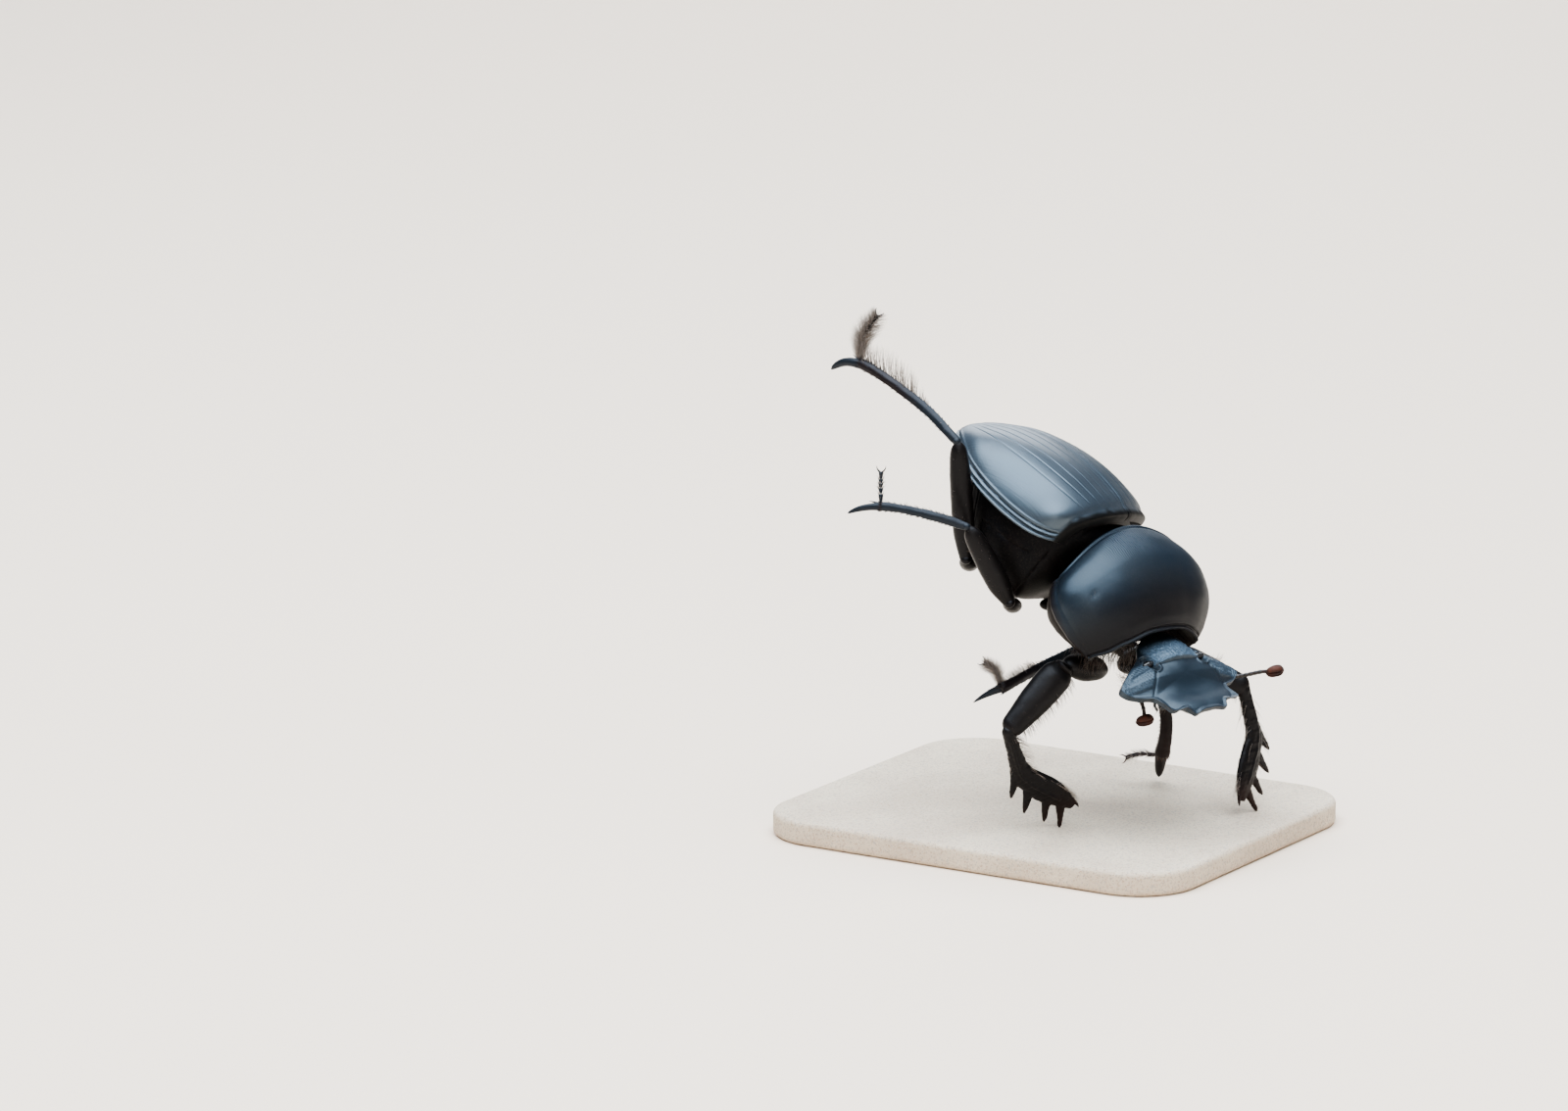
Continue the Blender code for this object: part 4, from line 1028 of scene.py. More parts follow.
footShape = {"joints": (0.30, 0.19, 0.15, 0.13, 0.23), "gap": 0.012, "flat": 0.75, "rings": 14}
blade = {  # fore tibia: middle line, half width and half thickness along it, then its teeth
    "body": ((0.0, 0.02, 0.60, 0.56), (1.5, 0.20, 0.64, 0.56), (3.2, 0.45, 0.80, 0.55), (4.6, 0.52, 1.02, 0.54),
             (6.0, -0.05, 1.25, 0.52), (7.5, -0.95, 1.32, 0.48), (8.7, -1.70, 1.00, 0.42),
             (9.6, -2.10, 0.62, 0.34), (10.1, -2.28, 0.32, 0.24)),
    "teeth": (((4.0, 0.95), (6.35, 2.48), 0.60), ((5.9, 0.35), (8.45, 2.02), 0.66),
              ((7.5, -0.75), (10.25, 0.75), 0.64), ((8.6, -1.65), (11.55, -0.32), 0.58)),
    "spur": ((9.0, -2.35), (10.6, -2.75), 0.26),
    "reach": 11.4, "settle": 0.02, "voxel": 0.07, "rounds": 4,
}
limbs = {}                                 # paths and radii, kept for the bristles


def shortOf(start, end, first, last):
    start, end = np.array(start, float), np.array(end, float)
    along = unit(end - start)
    return start + along * first, end - along * last


def edged(edges, height, width):
    # swell of a limb's section: narrow lengthwise ridges at the given angles
    def swell(t, a):
        total = np.ones((len(t), len(a)))
        for edge in edges:
            gap = np.abs((a - edge + math.pi) % (2 * math.pi) - math.pi)
            total = total + height * ridge(gap, 0, width) * np.sin(math.pi * np.clip(t, 0.03, 0.97)) ** 0.5
        return total
    return swell


def meshNormals(verts, faces):
    total = np.zeros_like(verts)
    for part in faces:
        normal = np.cross(verts[part[:, 2]] - verts[part[:, 0]], verts[part[:, -1]] - verts[part[:, 1]])
        for k in range(part.shape[1]):
            np.add.at(total, part[:, k], normal)
    return unit(total)


def fused(bodies, voxel, rounds):
    # several closed bodies grown into one skin and eased
    mesh = bpy.data.meshes.new("fusing")
    verts, faces, count = [], [], 0
    for bodyVerts, bodyFaces in bodies:
        if signedVolume(bodyVerts, bodyFaces) < 0:
            bodyFaces = [part[:, ::-1] for part in bodyFaces]
        verts.append(bodyVerts)
        faces += [(row + count).tolist() for part in bodyFaces for row in part]
        count += len(bodyVerts)
    mesh.from_pydata(np.vstack(verts).tolist(), [], faces)
    holder = bpy.data.objects.new("fusing", mesh)
    bpy.context.scene.collection.objects.link(holder)
    grow = holder.modifiers.new("grow", "REMESH")
    grow.mode, grow.voxel_size, grow.adaptivity = "VOXEL", voxel, 0.0
    ease = holder.modifiers.new("ease", "SMOOTH")
    ease.factor, ease.iterations = 0.5, rounds
    skin = bpy.data.meshes.new_from_object(holder.evaluated_get(bpy.context.evaluated_depsgraph_get()))
    points = np.empty(len(skin.vertices) * 3)
    skin.vertices.foreach_get("co", points)
    quads = [np.array([f.vertices[:] for f in skin.polygons if len(f.vertices) == n]) for n in (3, 4)]
    bpy.data.objects.remove(holder, do_unlink=True)
    bpy.data.meshes.remove(skin)
    return points.reshape(-1, 3), [part for part in quads if len(part)]


def hipPiece(name, inner, outer, thick, node):
    inner, outer = np.array(inner), np.array(outer)
    half = np.linalg.norm(outer - inner) / 2
    verts, faces = ball((half + 0.12, thick, thick * 0.82), aimed((inner + outer) / 2, outer - inner), 48, 40)
    verts = verts + meshNormals(verts, faces) * (0.03 * ripple(verts, 1.8, 51))[:, None]
    Shape().add(verts, faces, tone=0.1, dust=0.1).make(name, "foreLeg", "leg", (node,))


def thigh(name, hip, knee, startShort, endShort, radii, flat, node, finish, edges):
    start, end = shortOf(hip, knee, startShort, endShort)
    path = smoothPath([start, (start + end) / 2, end], legShape["stepsPerBend"])
    path = np.vstack([path[:-1], path[-1] + (path[-1] - path[-2]) * np.linspace(0, 1, 9)[:, None]])
    length = np.linalg.norm(end - start)
    t = np.linalg.norm(path - start, axis=1) / length
    roundness = legShape["endRound"]
    nearEnd = np.clip(1 - (t[-1] - t) * length / roundness, 0, 0.995)
    radius = curve(radii, t)[0] * np.sqrt(np.clip(1 - nearEnd ** 2, 0, 1))
    rings = rod(path, radius, flat, legShape["sides"], legFace, edged(edges, 0.08, 0.16))
    verts, faces = tube(rings)
    verts = verts + meshNormals(verts, faces) * (0.018 * ripple(verts, 1.6, 52))[:, None]
    reddish = padded(0.25 * smooth(0.75, 1.0, t)[:, None] + 0 * rings[..., 0], verts)
    shape = Shape().add(verts, faces, tone=reddish, dust=0.15)
    along = unit(end - start)
    side = unit(np.cross(along, legFace))
    trochanter = start - along * 0.10
    wide = curve(radii, 0.15)[0][0]
    shape.add(*ball((0.48, wide * 0.78, wide * 0.62), aimed(trochanter, along, side), 28, 16), tone=0.2)
    shape.make(name, finish, "leg", (node,))
    limbs[name] = {"path": path, "radius": radius, "flat": flat}


def foreShin(side, spec):
    # toothed digging blade, set down on the base
    knee, tip = np.array(spec["knee"]), np.array(spec["tip"])
    along = unit(tip - knee)
    normal = unit(np.array(spec["face"]) - along * (along @ np.array(spec["face"])))
    across = np.cross(normal, along) * spec["outer"]
    matrix = np.eye(4)
    matrix[:3, 0], matrix[:3, 1], matrix[:3, 2] = along, across, normal
    matrix[:3, 3] = tip - along * blade["reach"]
    rows = np.array(blade["body"])
    x = np.linspace(0, rows[-1, 0], 70)
    middle, wide, thick = curve(blade["body"], x)
    path = np.stack([x, middle, 0 * x], 1)
    bodies = [tube(rod(path, wide, (thick / wide)[:, None], 36, (0, 0, 1)))]
    keel = np.stack([x[4:60], middle[4:60] + 0.15, 0 * x[4:60]], 1)
    for height in (1, -1):                                              # lengthwise keels on both faces
        lifted = keel + np.array([0, 0, 1]) * (height * (thick[4:60] - 0.06))[:, None]
        bodies.append(tube(rod(lifted, 0.16, 1.0, 12, (0, 0, 1))))
    for root, point, width in blade["teeth"]:
        t = np.linspace(0, 1, 14)[:, None]
        line = np.hstack([np.array(root) + (np.array(point) - np.array(root)) * t, 0 * t])
        line[:, 0] += 0.10 * np.sin(math.pi * t[:, 0])
        radius = width * (1 - 0.76 * t[:, 0] ** 0.95)
        radius[-1] *= 0.6
        bodies.append(tube(rod(line, radius, (0.62 + 0.25 * t), 20, (0, 0, 1))))
    root, point, width = blade["spur"]
    bodies.append(spine((*root, 0), (*point, 0.1), width, (0, -0.12, 0)))
    for k in range(6):                                                  # small notches before the teeth
        at = 1.2 + 0.42 * k
        edge = curve(blade["body"], at)[:, 0]
        notch = placeMatrix((0, 0, 0), (at, edge[0] + edge[1] * 0.97, 0))
        bodies.append(ball((0.13, 0.10, 0.16), notch, 12, 8))
    bodies.append(ball((0.72, 0.62, 0.58), placeMatrix((0, 0, 0), (0.0, 0.02, 0)), 28, 18))   # knee
    verts, faces = fused(bodies, blade["voxel"], blade["rounds"])
    local = verts.copy()
    pits = 0.03 * ripple(local, 0.8, 61) + 0.02 * ripple(local, 0.45, 62)
    verts = verts + meshNormals(verts, faces) * pits[:, None]
    verts = moved(verts, matrix)
    lowered = standTop - blade["settle"] - verts[:, 2].min()
    matrix[2, 3] += lowered
    verts[:, 2] += lowered
    worn = (smooth(5.5, 11.2, local[:, 0]) * 0.75
            + 0.5 * smooth(1.0, 2.6, local[:, 1]) * smooth(4.6, 6, local[:, 0]))
    sandy = 0.25 + 0.5 * smooth(8, 11, local[:, 0])
    shape = Shape().add(verts, faces, local, tone=np.clip(worn, 0, 1), dust=sandy)
    shape.make("foreShin" + side, "foreLeg", "leg", ("fore_tibia_" + side.lower(),), 55)
    limbs["foreShin" + side] = {"matrix": matrix}


for side, spec in foreLegs.items():
    low = side.lower()
    hip = moved(spec["hip"], frontFrame)
    hipPiece("foreCoxa" + side, moved(spec["coxa"], frontFrame), hip, 1.55, "fore_coxa_" + low)
    thigh("foreThigh" + side, hip, spec["knee"], 0.45, -0.35,
          ((0.0, 1.1), (0.12, 1.5), (0.5, 1.42), (0.8, 1.16), (1.0, 0.98)), 0.72, "fore_femur_" + low,
          "foreLeg", (0.35, math.pi - 0.35))
    foreShin(side, spec)


def shin(name, spec, node):
    thin, endThick = spec["thick"][1], spec["thick"][2]
    first = shortOf(spec["knee"], spec["bend"], spec["joint"] * 0.35, 0)[0]
    path = smoothPath([first, spec["bend"], spec["apex"], spec["spur"]], legShape["stepsPerBend"])
    t = np.linspace(0, 1, len(path))
    keep = t <= legShape["shinShare"]                                   # the rest is the end spur
    path, t = path[keep], t[keep]
    radius = curve(((0.0, thin * 0.95), (0.04, thin * 1.05), (0.3, thin * 1.15), (0.55, endThick * 0.92),
                    (0.64, endThick * 1.02), (legShape["shinShare"], endThick * 0.80)), t)[0]
    edge, flat = legShape["edge"], legShape["shinFlat"]
    edges = (edge, math.pi - edge, math.pi + edge, -edge)
    rings = rod(path, radius, flat, legShape["sides"], legFace, edged(edges, 0.16, 0.22))
    verts, faces = tube(rings)
    verts = verts + meshNormals(verts, faces) * (0.02 * ripple(verts, 1.1, 53))[:, None]
    reddish = padded((spec.get("footTone", 0.75) * smooth(0.15, 0.50, t))[:, None] + 0 * rings[..., 0], verts)
    shape = Shape().add(verts, faces, tone=reddish, dust=0.2)
    apex, along = path[-1], unit(path[-1] - path[-4])
    side = unit(np.cross(along, legFace))
    other = np.cross(along, side)
    tip = np.array(spec["spur"])
    share = np.linspace(0, 1, 22)
    hook = apex - along * 0.6 + (tip - apex + along * 0.6) * share[:, None]
    arch = 4 * share * (1 - share) * (0.7 + 0.6 * share)
    hook[:, 2] += spec.get("hook", 0.16) * np.linalg.norm(tip - apex) * arch
    hookRadius = endThick * (0.95 - spec.get("taper", 0.30) * share) * np.sqrt(1 - 0.97 * share ** 7)
    shape.add(*tube(rod(hook, hookRadius, 0.8, 24)), tone=0.15)
    second = apex + along * 1.25 + side * 0.45 + other * 0.3
    shape.add(*spine(apex - along * 0.1 + side * 0.2, second, 0.13), tone=0.6)
    for k in range(legShape["comb"]):                                   # short thorns round the end
        a = 2 * math.pi * k / legShape["comb"]
        away = side * math.cos(a) + other * flat * math.sin(a)
        root = apex - along * 0.12 + away * endThick * 0.82
        shape.add(*spine(root, root + along * 0.42 + away * 0.16, 0.085, sides=7, rings=5), tone=0.8)
    count = legShape["thorns"]
    for row, edge in enumerate(edges[:2]):                              # thorns along two edges
        for k in range(count):
            i = int(np.interp(0.12 + 0.52 * (k + 0.5 * row) / count, t, np.arange(len(t))))
            way = unit(path[i + 1] - path[i - 1])
            sideHere = unit(np.cross(way, legFace))
            away = sideHere * math.cos(edge) + np.cross(way, sideHere) * flat * math.sin(edge)
            root = path[i] + away * radius[i] * 0.98
            shape.add(*spine(root, root + way * 0.34 + unit(away) * 0.20, 0.075, sides=6, rings=5), tone=0.8)
    shape.add(*ball((0.40, thin * 1.02, thin * 0.95), aimed(path[0], path[2] - path[0]), 24, 14), tone=0.1)
    shape.make(name, spec["finish"], "leg", (node,))
    limbs[name] = {"path": path, "radius": radius, "flat": flat}


def foot(name, spec, node):
    # five short joints that widen toward their ends, and two claws
    apex = np.array(spec["apex"])
    start = apex + unit(np.array(spec["tarsus"][0]) - apex) * spec["thick"][2] * 0.7
    path = smoothPath([start, *spec["tarsus"]], 60)
    run = np.concatenate([[0], np.cumsum(np.linalg.norm(np.diff(path, axis=0), axis=1))])
    run /= run[-1]
    ends = np.cumsum([0, *footShape["joints"]])
    t = np.linspace(0, 1, footShape["rings"])
    radius = 0.11 + 0.13 * t ** 0.8 - 0.06 * smooth(0.86, 1.0, t)
    shape = Shape()
    for begin, end in zip(ends, ends[1:]):
        at = np.linspace(begin, end - footShape["gap"], len(t))
        line = np.stack([np.interp(at, run, path[:, c]) for c in range(3)], 1)
        shape.add(*tube(rod(line, radius, footShape["flat"], 20)), tone=spec.get("footTone", 0.75))
        way = unit(line[-1] - line[0])
        side = unit(np.cross(way, legFace))
        for sign in (1, -1):
            root = line[-2] + side * sign * 0.15
            shape.add(*spine(root, root + way * 0.25 + side * sign * 0.15, 0.05, sides=6, rings=4), tone=0.9)
    way = unit(path[-1] - path[-8])
    side = unit(np.cross(way, legFace))
    for sign in (1, -1):
        shape.add(*spine(path[-1] - way * 0.1, path[-1] + way * 0.55 + side * sign * 0.40, 0.085,
                         side * sign * 0.14, 8, 9), tone=0.9)
    shape.make(name, spec["finish"], "tarsus", (node,))
    limbs[name] = {"path": path, "radius": np.full(len(path), 0.2), "flat": footShape["flat"]}


for name, spec in longLegs.items():
    part, side = ("mid", name[3:]) if name.startswith("mid") else ("hind", name[4:])
    low = side.lower()
    hip = moved(spec["hip"], hindFrame)
    thick = spec["thick"][0]
    hipPiece(part + "Coxa" + side, moved(spec["coxa"], hindFrame), hip, 0.86, part + "_coxa_" + low)
    thigh(part + "Thigh" + side, hip, spec["knee"], 0.35, 0.10,
          ((0.0, 0.6), (0.2, thick * 0.95), (0.5, thick), (0.85, 0.86), (1.0, 0.60)), 0.8,
          part + "_femur_" + low, spec["finish"].replace("long", "fore"), (0.3, math.pi - 0.3))
    shin(part + "Shin" + side, spec, part + "_tibia_" + low)
    foot(part + "Foot" + side, spec, part + "_tarsus_" + low)
print("legs made")


class Coat:
    # bristles as thin closed cones, each with its own small patch of the unwrap
    rings, sides, patch = 6, 3, 0.003

    def __init__(self):
        self.verts, self.uvs, self.tones = [], [], []

    def plant(self, roots, ways, lengths, bends, spots, thick):
        roots, ways = np.asarray(roots, float), unit(ways)
        count = len(roots)
        t = np.linspace(0, 1, self.rings)[None, :, None]
        lengths = np.broadcast_to(np.asarray(lengths, float), (count,))[:, None, None]
        bends = np.broadcast_to(np.asarray(bends, float), (count, 3))[:, None]
        line = (roots - 0.08 * ways)[:, None] + ways[:, None] * lengths * t + bends * lengths * t ** 2
        side = unit(np.cross(ways, hairDraw.normal(size=(count, 3))))
        other = np.cross(ways, side)
        a = np.arange(self.sides) * 2 * math.pi / self.sides
        spread = side[:, None] * np.cos(a)[None, :, None] + other[:, None] * np.sin(a)[None, :, None]
        thick = thick * hairDraw.uniform(0.8, 1.2, (count, 1, 1, 1))
        radius = thick * (1 - 0.86 * t[..., None] ** 1.2)
        self.verts.append((line[:, :, None] + spread[:, None] * radius).reshape(-1, 3))
        corner = np.stack(np.meshgrid(np.linspace(0, 1, self.rings), np.arange(self.sides) / self.sides,
                                      indexing="ij"), -1)
        self.uvs.append((np.asarray(spots)[:, None, None] + corner[None] * self.patch).reshape(-1, 2))
        tone = t * 0.75 + hairDraw.uniform(0, 0.25, (count, 1, 1))
        self.tones.append(np.broadcast_to(tone, (count, self.rings, self.sides)).reshape(-1))

    def make(self, name, finish, slot):
        verts = np.vstack(self.verts)
        per = self.rings * self.sides
        hair = [gridFaces(self.rings, self.sides, True)]
        ends = [np.array([[2, 1, 0]]), np.array([[per - 3, per - 2, per - 1]])]
        starts = np.arange(len(verts) // per) * per
        quads = (starts[:, None, None] + hair[0]).reshape(-1, 4)
        tris = np.concatenate([(starts[:, None, None] + end).reshape(-1, 3) for end in ends])
        if signedVolume(verts[:per], hair + ends) < 0:
            quads, tris = quads[:, ::-1], tris[:, ::-1]
        mesh = bpy.data.meshes.new(name)
        mesh.from_pydata((verts * millimetre).tolist(), [], quads.tolist() + tris.tolist())
        spots = np.vstack(self.uvs)
        order = np.concatenate([quads.ravel(), tris.ravel()])
        mesh.uv_layers.new(name="OFBake").data.foreach_set("uv", spots[order].ravel())
        mesh.attributes.new("tone", "FLOAT", "POINT").data.foreach_set("value", np.concatenate(self.tones))
        mesh.materials.append(finishes[finish])
        mesh.shade_smooth()
        piece = bpy.data.objects.new(name, mesh)
        bpy.context.scene.collection.objects.link(piece)
        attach(piece, "root")
        print(name, "has", len(starts), "bristles")


def tile(number, u, v):
    # place on an unwrap that gives each body part its own square
    row, column = divmod(number, 5)
    return np.stack([(column + 0.03 + 0.9 * np.clip(u, 0, 1)) / 5,
                     (row + 0.03 + 0.9 * np.clip(v, 0, 1)) / 5], -1)


def limbSpots(limb, count, span, want, spread):
    # root points on a limb's surface, on the side that looks toward want
    path, radius, flat = limb["path"], limb["radius"], limb["flat"]
    t = hairDraw.uniform(*span, count)
    i = np.clip((t * (len(path) - 1)).astype(int), 1, len(path) - 2)
    along = unit(path[i + 1] - path[i - 1])
    side = unit(np.cross(along, legFace))
    other = np.cross(along, side)
    a = np.arctan2(other @ np.array(want), side @ np.array(want)) + hairDraw.normal(0, spread, count)
    away = side * np.cos(a)[:, None] + other * np.sin(a)[:, None] * flat
    step = (t * (len(path) - 1) - i)[:, None]
    roots = path[i] + (path[i + 1] - path[i]) * step + away * radius[i][:, None]
    return roots, unit(away), along, t, (a / (2 * math.pi)) % 1


legCoat, footCoat, bodyCoat, headCoat = Coat(), Coat(), Coat(), Coat()


def furLimb(coat, number, name, count, span, want, spread, length, lean, bend, thick, swell=None):
    # swell scales the lengths along the limb
    roots, away, along, t, v = limbSpots(limbs[name], count, span, want, spread)
    ways = away + along * lean + hairDraw.normal(0, 0.12, (count, 3))
    lengths = hairDraw.uniform(*length, count)
    if swell:
        lengths = lengths * swell(t)
    coat.plant(roots, ways, lengths, along * bend + np.array([0, 0, -0.05]), tile(number, t, v), thick)


def sail(t):
    return 0.22 + 0.78 * smooth(0.44, 0.66, t) * (1 - 0.45 * smooth(0.80, 1.0, t))


def brush(t):
    return 0.35 + 0.65 * np.sin(math.pi * np.clip(t * 0.92 + 0.02, 0, 1)) ** 0.8


def furBlade(number, side, rows):
    matrix = limbs["foreShin" + side]["matrix"]
    for count, span, edge, length, droop in rows:
        x = hairDraw.uniform(*span, count)
        middle, wide = curve(blade["body"], x)[:2]
        y = middle + edge * wide * 0.92
        z = hairDraw.normal(0, 0.18, count)
        ways = np.stack([0.75 + hairDraw.normal(0, 0.15, count), edge * (1 + hairDraw.normal(0, 0.15, count)),
                         hairDraw.normal(0, 0.25, count)], 1)
        lengths = hairDraw.uniform(*length, count)
        footCoat.plant(moved(np.stack([x, y, z], 1), matrix), turned(ways, matrix), lengths,
                       turned((droop, -edge * 0.15, 0), matrix),
                       tile(number, x / blade["reach"], 0.5 + 0.2 * z), 0.019)


def furPatch(coat, number, matrix, count, low, high, way, jitter, length, bend, thick=0.02):
    # bristles scattered in a box of a body region's own frame
    low, high = np.array(low, float), np.array(high, float)
    share = hairDraw.uniform(0, 1, (count, 3))
    roots = low + (high - low) * share
    ways = np.asarray(way, float) + hairDraw.normal(0, jitter, (count, 3))
    coat.plant(moved(roots, matrix), turned(ways, matrix), hairDraw.uniform(*length, count),
               turned(bend, matrix), tile(number, share[:, 0], share[:, 1]), thick)


down, up = (0, 0, -1), (0, 0, 1)
thighFur = ((0.1, 0.95), down, 1.2, (0.2, 0.45), 0.8, 0.2, 0.016)
bristles = {  # in the order of planting
    # coat, tile, limb, count, span along it, side they grow on, spread, length, lean, bend, thickness, swell
    "limbs": (
        (legCoat, 0, "foreThighRight", 210, (0.02, 0.92), (0.3, 0, -1), 0.26, (0.55, 1.1), 0.25, 0.15, 0.018),
        (legCoat, 1, "foreThighLeft", 160, (0.05, 0.92), (0, 0.2, -1), 0.35, (0.45, 0.95), 0.3, 0.15, 0.018),
        (legCoat, 2, "midThighRight", 40, *thighFur),
        (legCoat, 3, "midThighLeft", 40, *thighFur),
        (legCoat, 4, "hindThighRight", 40, *thighFur),
        (legCoat, 5, "hindThighLeft", 40, *thighFur),
        (footCoat, 6, "hindShinRight", 260, (0.44, 0.98), (-0.1, 0.1, 1), 0.22, (2.3, 2.9), 0.75, -0.10,
         0.017, sail),
        (legCoat, 6, "hindShinRight", 80, (0.05, 0.95), (0, -0.3, 1), 1.2, (0.15, 0.35), 1.0, 0.1, 0.015),
        (legCoat, 7, "hindShinLeft", 260, (0.45, 0.97), up, 0.20, (1.0, 1.5), 0.9, -0.10, 0.016, sail),
        (legCoat, 8, "midShinRight", 80, (0.2, 0.98), up, 0.6, (0.2, 0.6), 0.8, 0.1, 0.014),
        (legCoat, 9, "midShinLeft", 80, (0.2, 0.98), (-0.5, 0.5, 0), 0.8, (0.2, 0.6), 0.8, 0.1, 0.014)),
    "feet": (("hindFootRight", 1900, (1.1, 1.7)), ("hindFootLeft", 1000, (0.7, 1.1)),
             ("midFootRight", 120, (0.3, 0.6)), ("midFootLeft", 300, (0.4, 0.8))),      # count, length
    "blades": (  # tile, side of the body, then rows of count, span, edge, length, droop
        (10, "Right", ((64, (0.5, 4.6), -1, (1.1, 1.6), 0.20), (70, (4.6, 8.4), -1, (0.9, 1.5), 0.45),
                       (36, (0.6, 4.4), 1, (0.3, 0.6), 0.3), (70, (6.5, 9.6), -1, (0.4, 1.0), 0.4))),
        (11, "Left", ((90, (1.0, 9.0), -1, (0.5, 1.4), 0.55), (70, (0.6, 7.5), 1, (0.6, 1.5), 0.4)))),
    "breast": ((6.4, 7.4), (7.2, 8.2), (8.0, 9.2)),      # where its three fringes lie, front to back
}
for row in bristles["limbs"]:
    furLimb(*row)
for number, (name, count, length) in enumerate(bristles["feet"]):
    furLimb(footCoat, number, name, count, (0.02, 0.99), (-0.3, 0, 1), 1.7, length, 0.80, 0.15, 0.012, brush)
for row in bristles["blades"]:
    furBlade(*row)
for number, (back, front) in enumerate(bristles["breast"]):
    height = 0.35 * number
    furPatch(bodyCoat, number, frontFrame, 330, (back, -5.6, -5.1 + height), (front, 5.6, -4.5 + height),
             (0.55, 0, -1), 0.28, (0.7, 1.35), (0.2, 0, -0.1))
furPatch(bodyCoat, 4, hindFrame, 220, (0.6, -5.0, -4.6), (1.6, 5.0, -3.6), (0.4, 0, -1), 0.35, (0.4, 0.8),
         (0.1, 0, 0))
for sign, cheek, lip in ((1, 1, 3), (-1, 2, 4)):
    furPatch(headCoat, cheek, headFrame, 150, (2.2, sign * 3.6, -0.9), (4.2, sign * 5.9, -0.5),
             (-0.35, sign * 1.0, 0.1), 0.30, (0.6, 1.3), (-0.1, 0, 0.35), 0.018)
    furPatch(headCoat, lip, headFrame, 90, (4.4, sign * 1.2, -0.95), (6.6, sign * 4.0, -0.7),
             (0.6, sign * 0.8, -0.7), 0.25, (0.35, 0.8), (0.1, 0, -0.2), 0.018)
legCoat.make("bristlesLegs", "darkBristle", "leg")
footCoat.make("bristlesFeet", "paleBristle", "tarsus")
bodyCoat.make("bristlesBreast", "darkBristle", "underside")
headCoat.make("bristlesHead", "paleBristle", "feeler")


plinth = {"corner": 6.0, "edge": 0.5, "edgeSteps": 7, "cornerSteps": 24}


def makePlinth():
    low, high = (np.array(corner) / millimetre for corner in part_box("stand_base"))
    middle, half = (low + high) / 2, (high - low) / 2
    rings = []
    edge = plinth["edge"]
    outline = []
    for step in np.linspace(0, 0.5 * math.pi, plinth["edgeSteps"]):
        outline.append((edge * (1 - math.sin(step)), low[2] + edge * (1 - math.cos(step))))
    outline += [(0.0, z) for z in np.linspace(low[2] + edge, high[2] - edge, 5)[1:-1]]
    for step in np.linspace(0, 0.5 * math.pi, plinth["edgeSteps"]):
        outline.append((edge * (1 - math.cos(step)), high[2] - edge * (1 - math.sin(step))))
    for inset, height in outline + [(inset, high[2]) for inset in (1.5, 3.0, 5.2)]:
        ring = []
        for corner, (sx, sy) in enumerate(((1, 1), (-1, 1), (-1, -1), (1, -1))):
            for k in range(plinth["cornerSteps"] + 1):
                a = 0.5 * math.pi * (corner + k / plinth["cornerSteps"])
                radius = plinth["corner"] - inset
                ring.append((middle[0] + sx * (half[0] - plinth["corner"]) + radius * math.cos(a),
                             middle[1] + sy * (half[1] - plinth["corner"]) + radius * math.sin(a), height))
        rings.append(ring)
    Shape().add(*tube(np.array(rings))).make("standPlinth", "plinth", "base", ("stand_base",), 35)


makePlinth()

studio = {
    "target": (-19.45, -16.38, 26.70), "azimuth": 32.0, "elevation": 13.0, "distance": 800.0, "lens": 200.0,
    "floorSize": 9.0, "floorDrop": 0.00002, "airStrength": 0.75,       # floor in metres
    "air": (  # colours from straight down to straight up
        (0.0, (0.34, 0.29, 0.24, 1)), (0.50, (0.24, 0.22, 0.20, 1)), (0.66, (0.25, 0.28, 0.33, 1)),
        (0.86, (0.34, 0.43, 0.55, 1)), (1.0, (0.66, 0.84, 1.0, 1))),
    "lights": (  # name, place and aim in millimetres, size in metres, power in watts, colour
        ("skySoftbox", (20, -100, 620), (0, 0, 24), 0.95, 17.0, (0.84, 0.92, 1.0)),
        ("frontSoftbox", (420, -560, 300), (0, 0, 20), 0.45, 1.2, (1.0, 0.92, 0.82)),
        ("edgeSoftbox", (-300, 520, 300), (0, 0, 22), 0.40, 1.6, (0.90, 0.95, 1.0)),
    ),
}


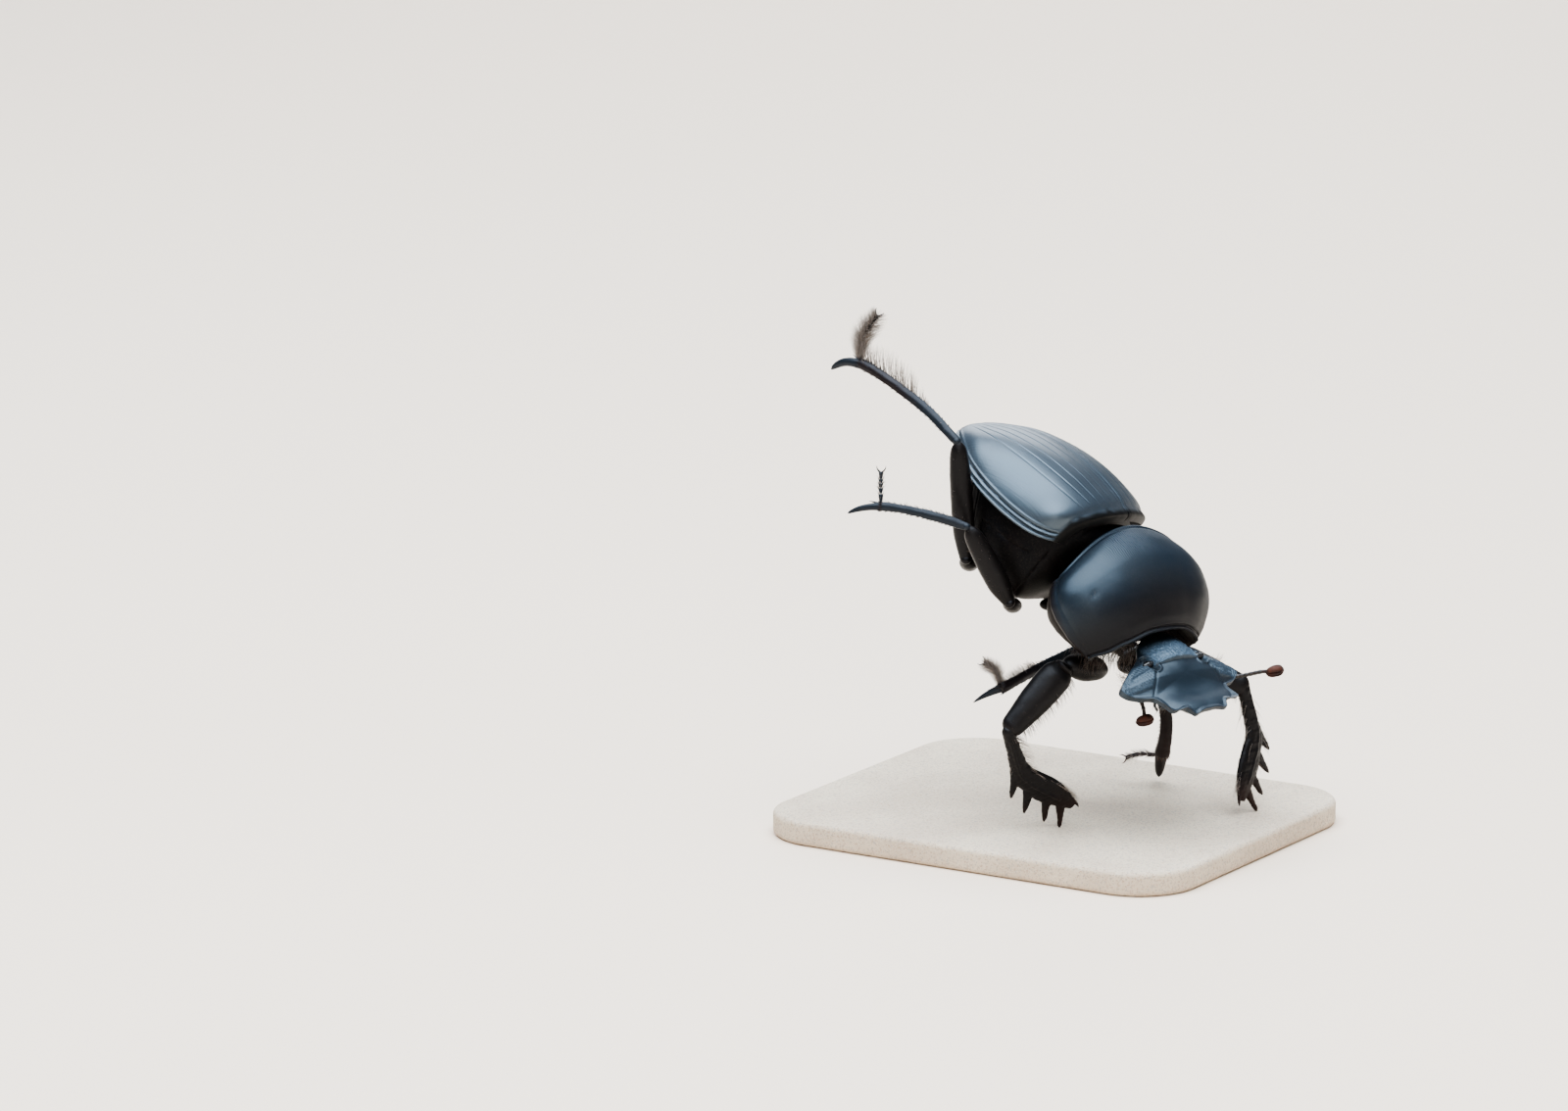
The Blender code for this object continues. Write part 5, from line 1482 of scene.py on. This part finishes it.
def makeAir():
    # sky above and sand below, for the shells to mirror
    world = bpy.data.worlds.new("studioAir")
    world.use_nodes = True
    air = NodeTree(world.node_tree)
    place = air.add("ShaderNodeTexCoord", {}, {}, "Generated")
    height = air.add("ShaderNodeSeparateXYZ", {}, {0: place}, "Z")
    rise = air.add("ShaderNodeMapRange", {}, {"Value": height, "From Min": -1.0})
    colour = air.add("ShaderNodeValToRGB", {"stops": studio["air"]}, {0: rise})
    back = air.tree.nodes["Background"]
    air.plug(back.inputs["Strength"], studio["airStrength"])
    air.plug(back.inputs["Color"], colour)
    bpy.context.scene.world = world
    bpy.context.scene.view_settings.look = "AgX - Medium High Contrast"


def makeStudio():
    mesh = bpy.data.meshes.new("studioFloor")
    half = studio["floorSize"] / 2
    corners = [(-half, -half, 0), (half, -half, 0), (half, half, 0), (-half, half, 0)]
    mesh.from_pydata(corners, [], [(0, 1, 2, 3)])
    mesh.materials.append(finishes["floor"])
    floor = bpy.data.objects.new("studioFloor", mesh)
    bpy.context.scene.collection.objects.link(floor)
    floor.location.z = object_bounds()[0][2] - studio["floorDrop"]
    makeAir()
    for name, place, aim, size, power, colour in studio["lights"]:
        lamp = bpy.data.lights.new(name, "AREA")
        lamp.shape, lamp.size, lamp.energy, lamp.color = "DISK", size, power, colour
        holder = bpy.data.objects.new(name, lamp)
        holder.location = Vector(place) * millimetre
        holder.rotation_euler = (Vector(aim) - Vector(place)).to_track_quat("-Z", "Y").to_euler()
        bpy.context.scene.collection.objects.link(holder)
    camera = bpy.data.cameras.new("camera")
    camera.lens, camera.sensor_width = studio["lens"], 36
    camera.clip_start, camera.clip_end = 0.01, 50
    holder = bpy.data.objects.new("camera", camera)
    turnAngle, rise = math.radians(studio["azimuth"]), math.radians(studio["elevation"])
    away = Vector((math.sin(turnAngle) * math.cos(rise), -math.cos(turnAngle) * math.cos(rise), math.sin(rise)))
    holder.location = (Vector(studio["target"]) + away * studio["distance"]) * millimetre
    holder.rotation_euler = away.to_track_quat("Z", "Y").to_euler()
    bpy.context.scene.collection.objects.link(holder)
    bpy.context.scene.camera = holder


makeStudio()
print("studio made")
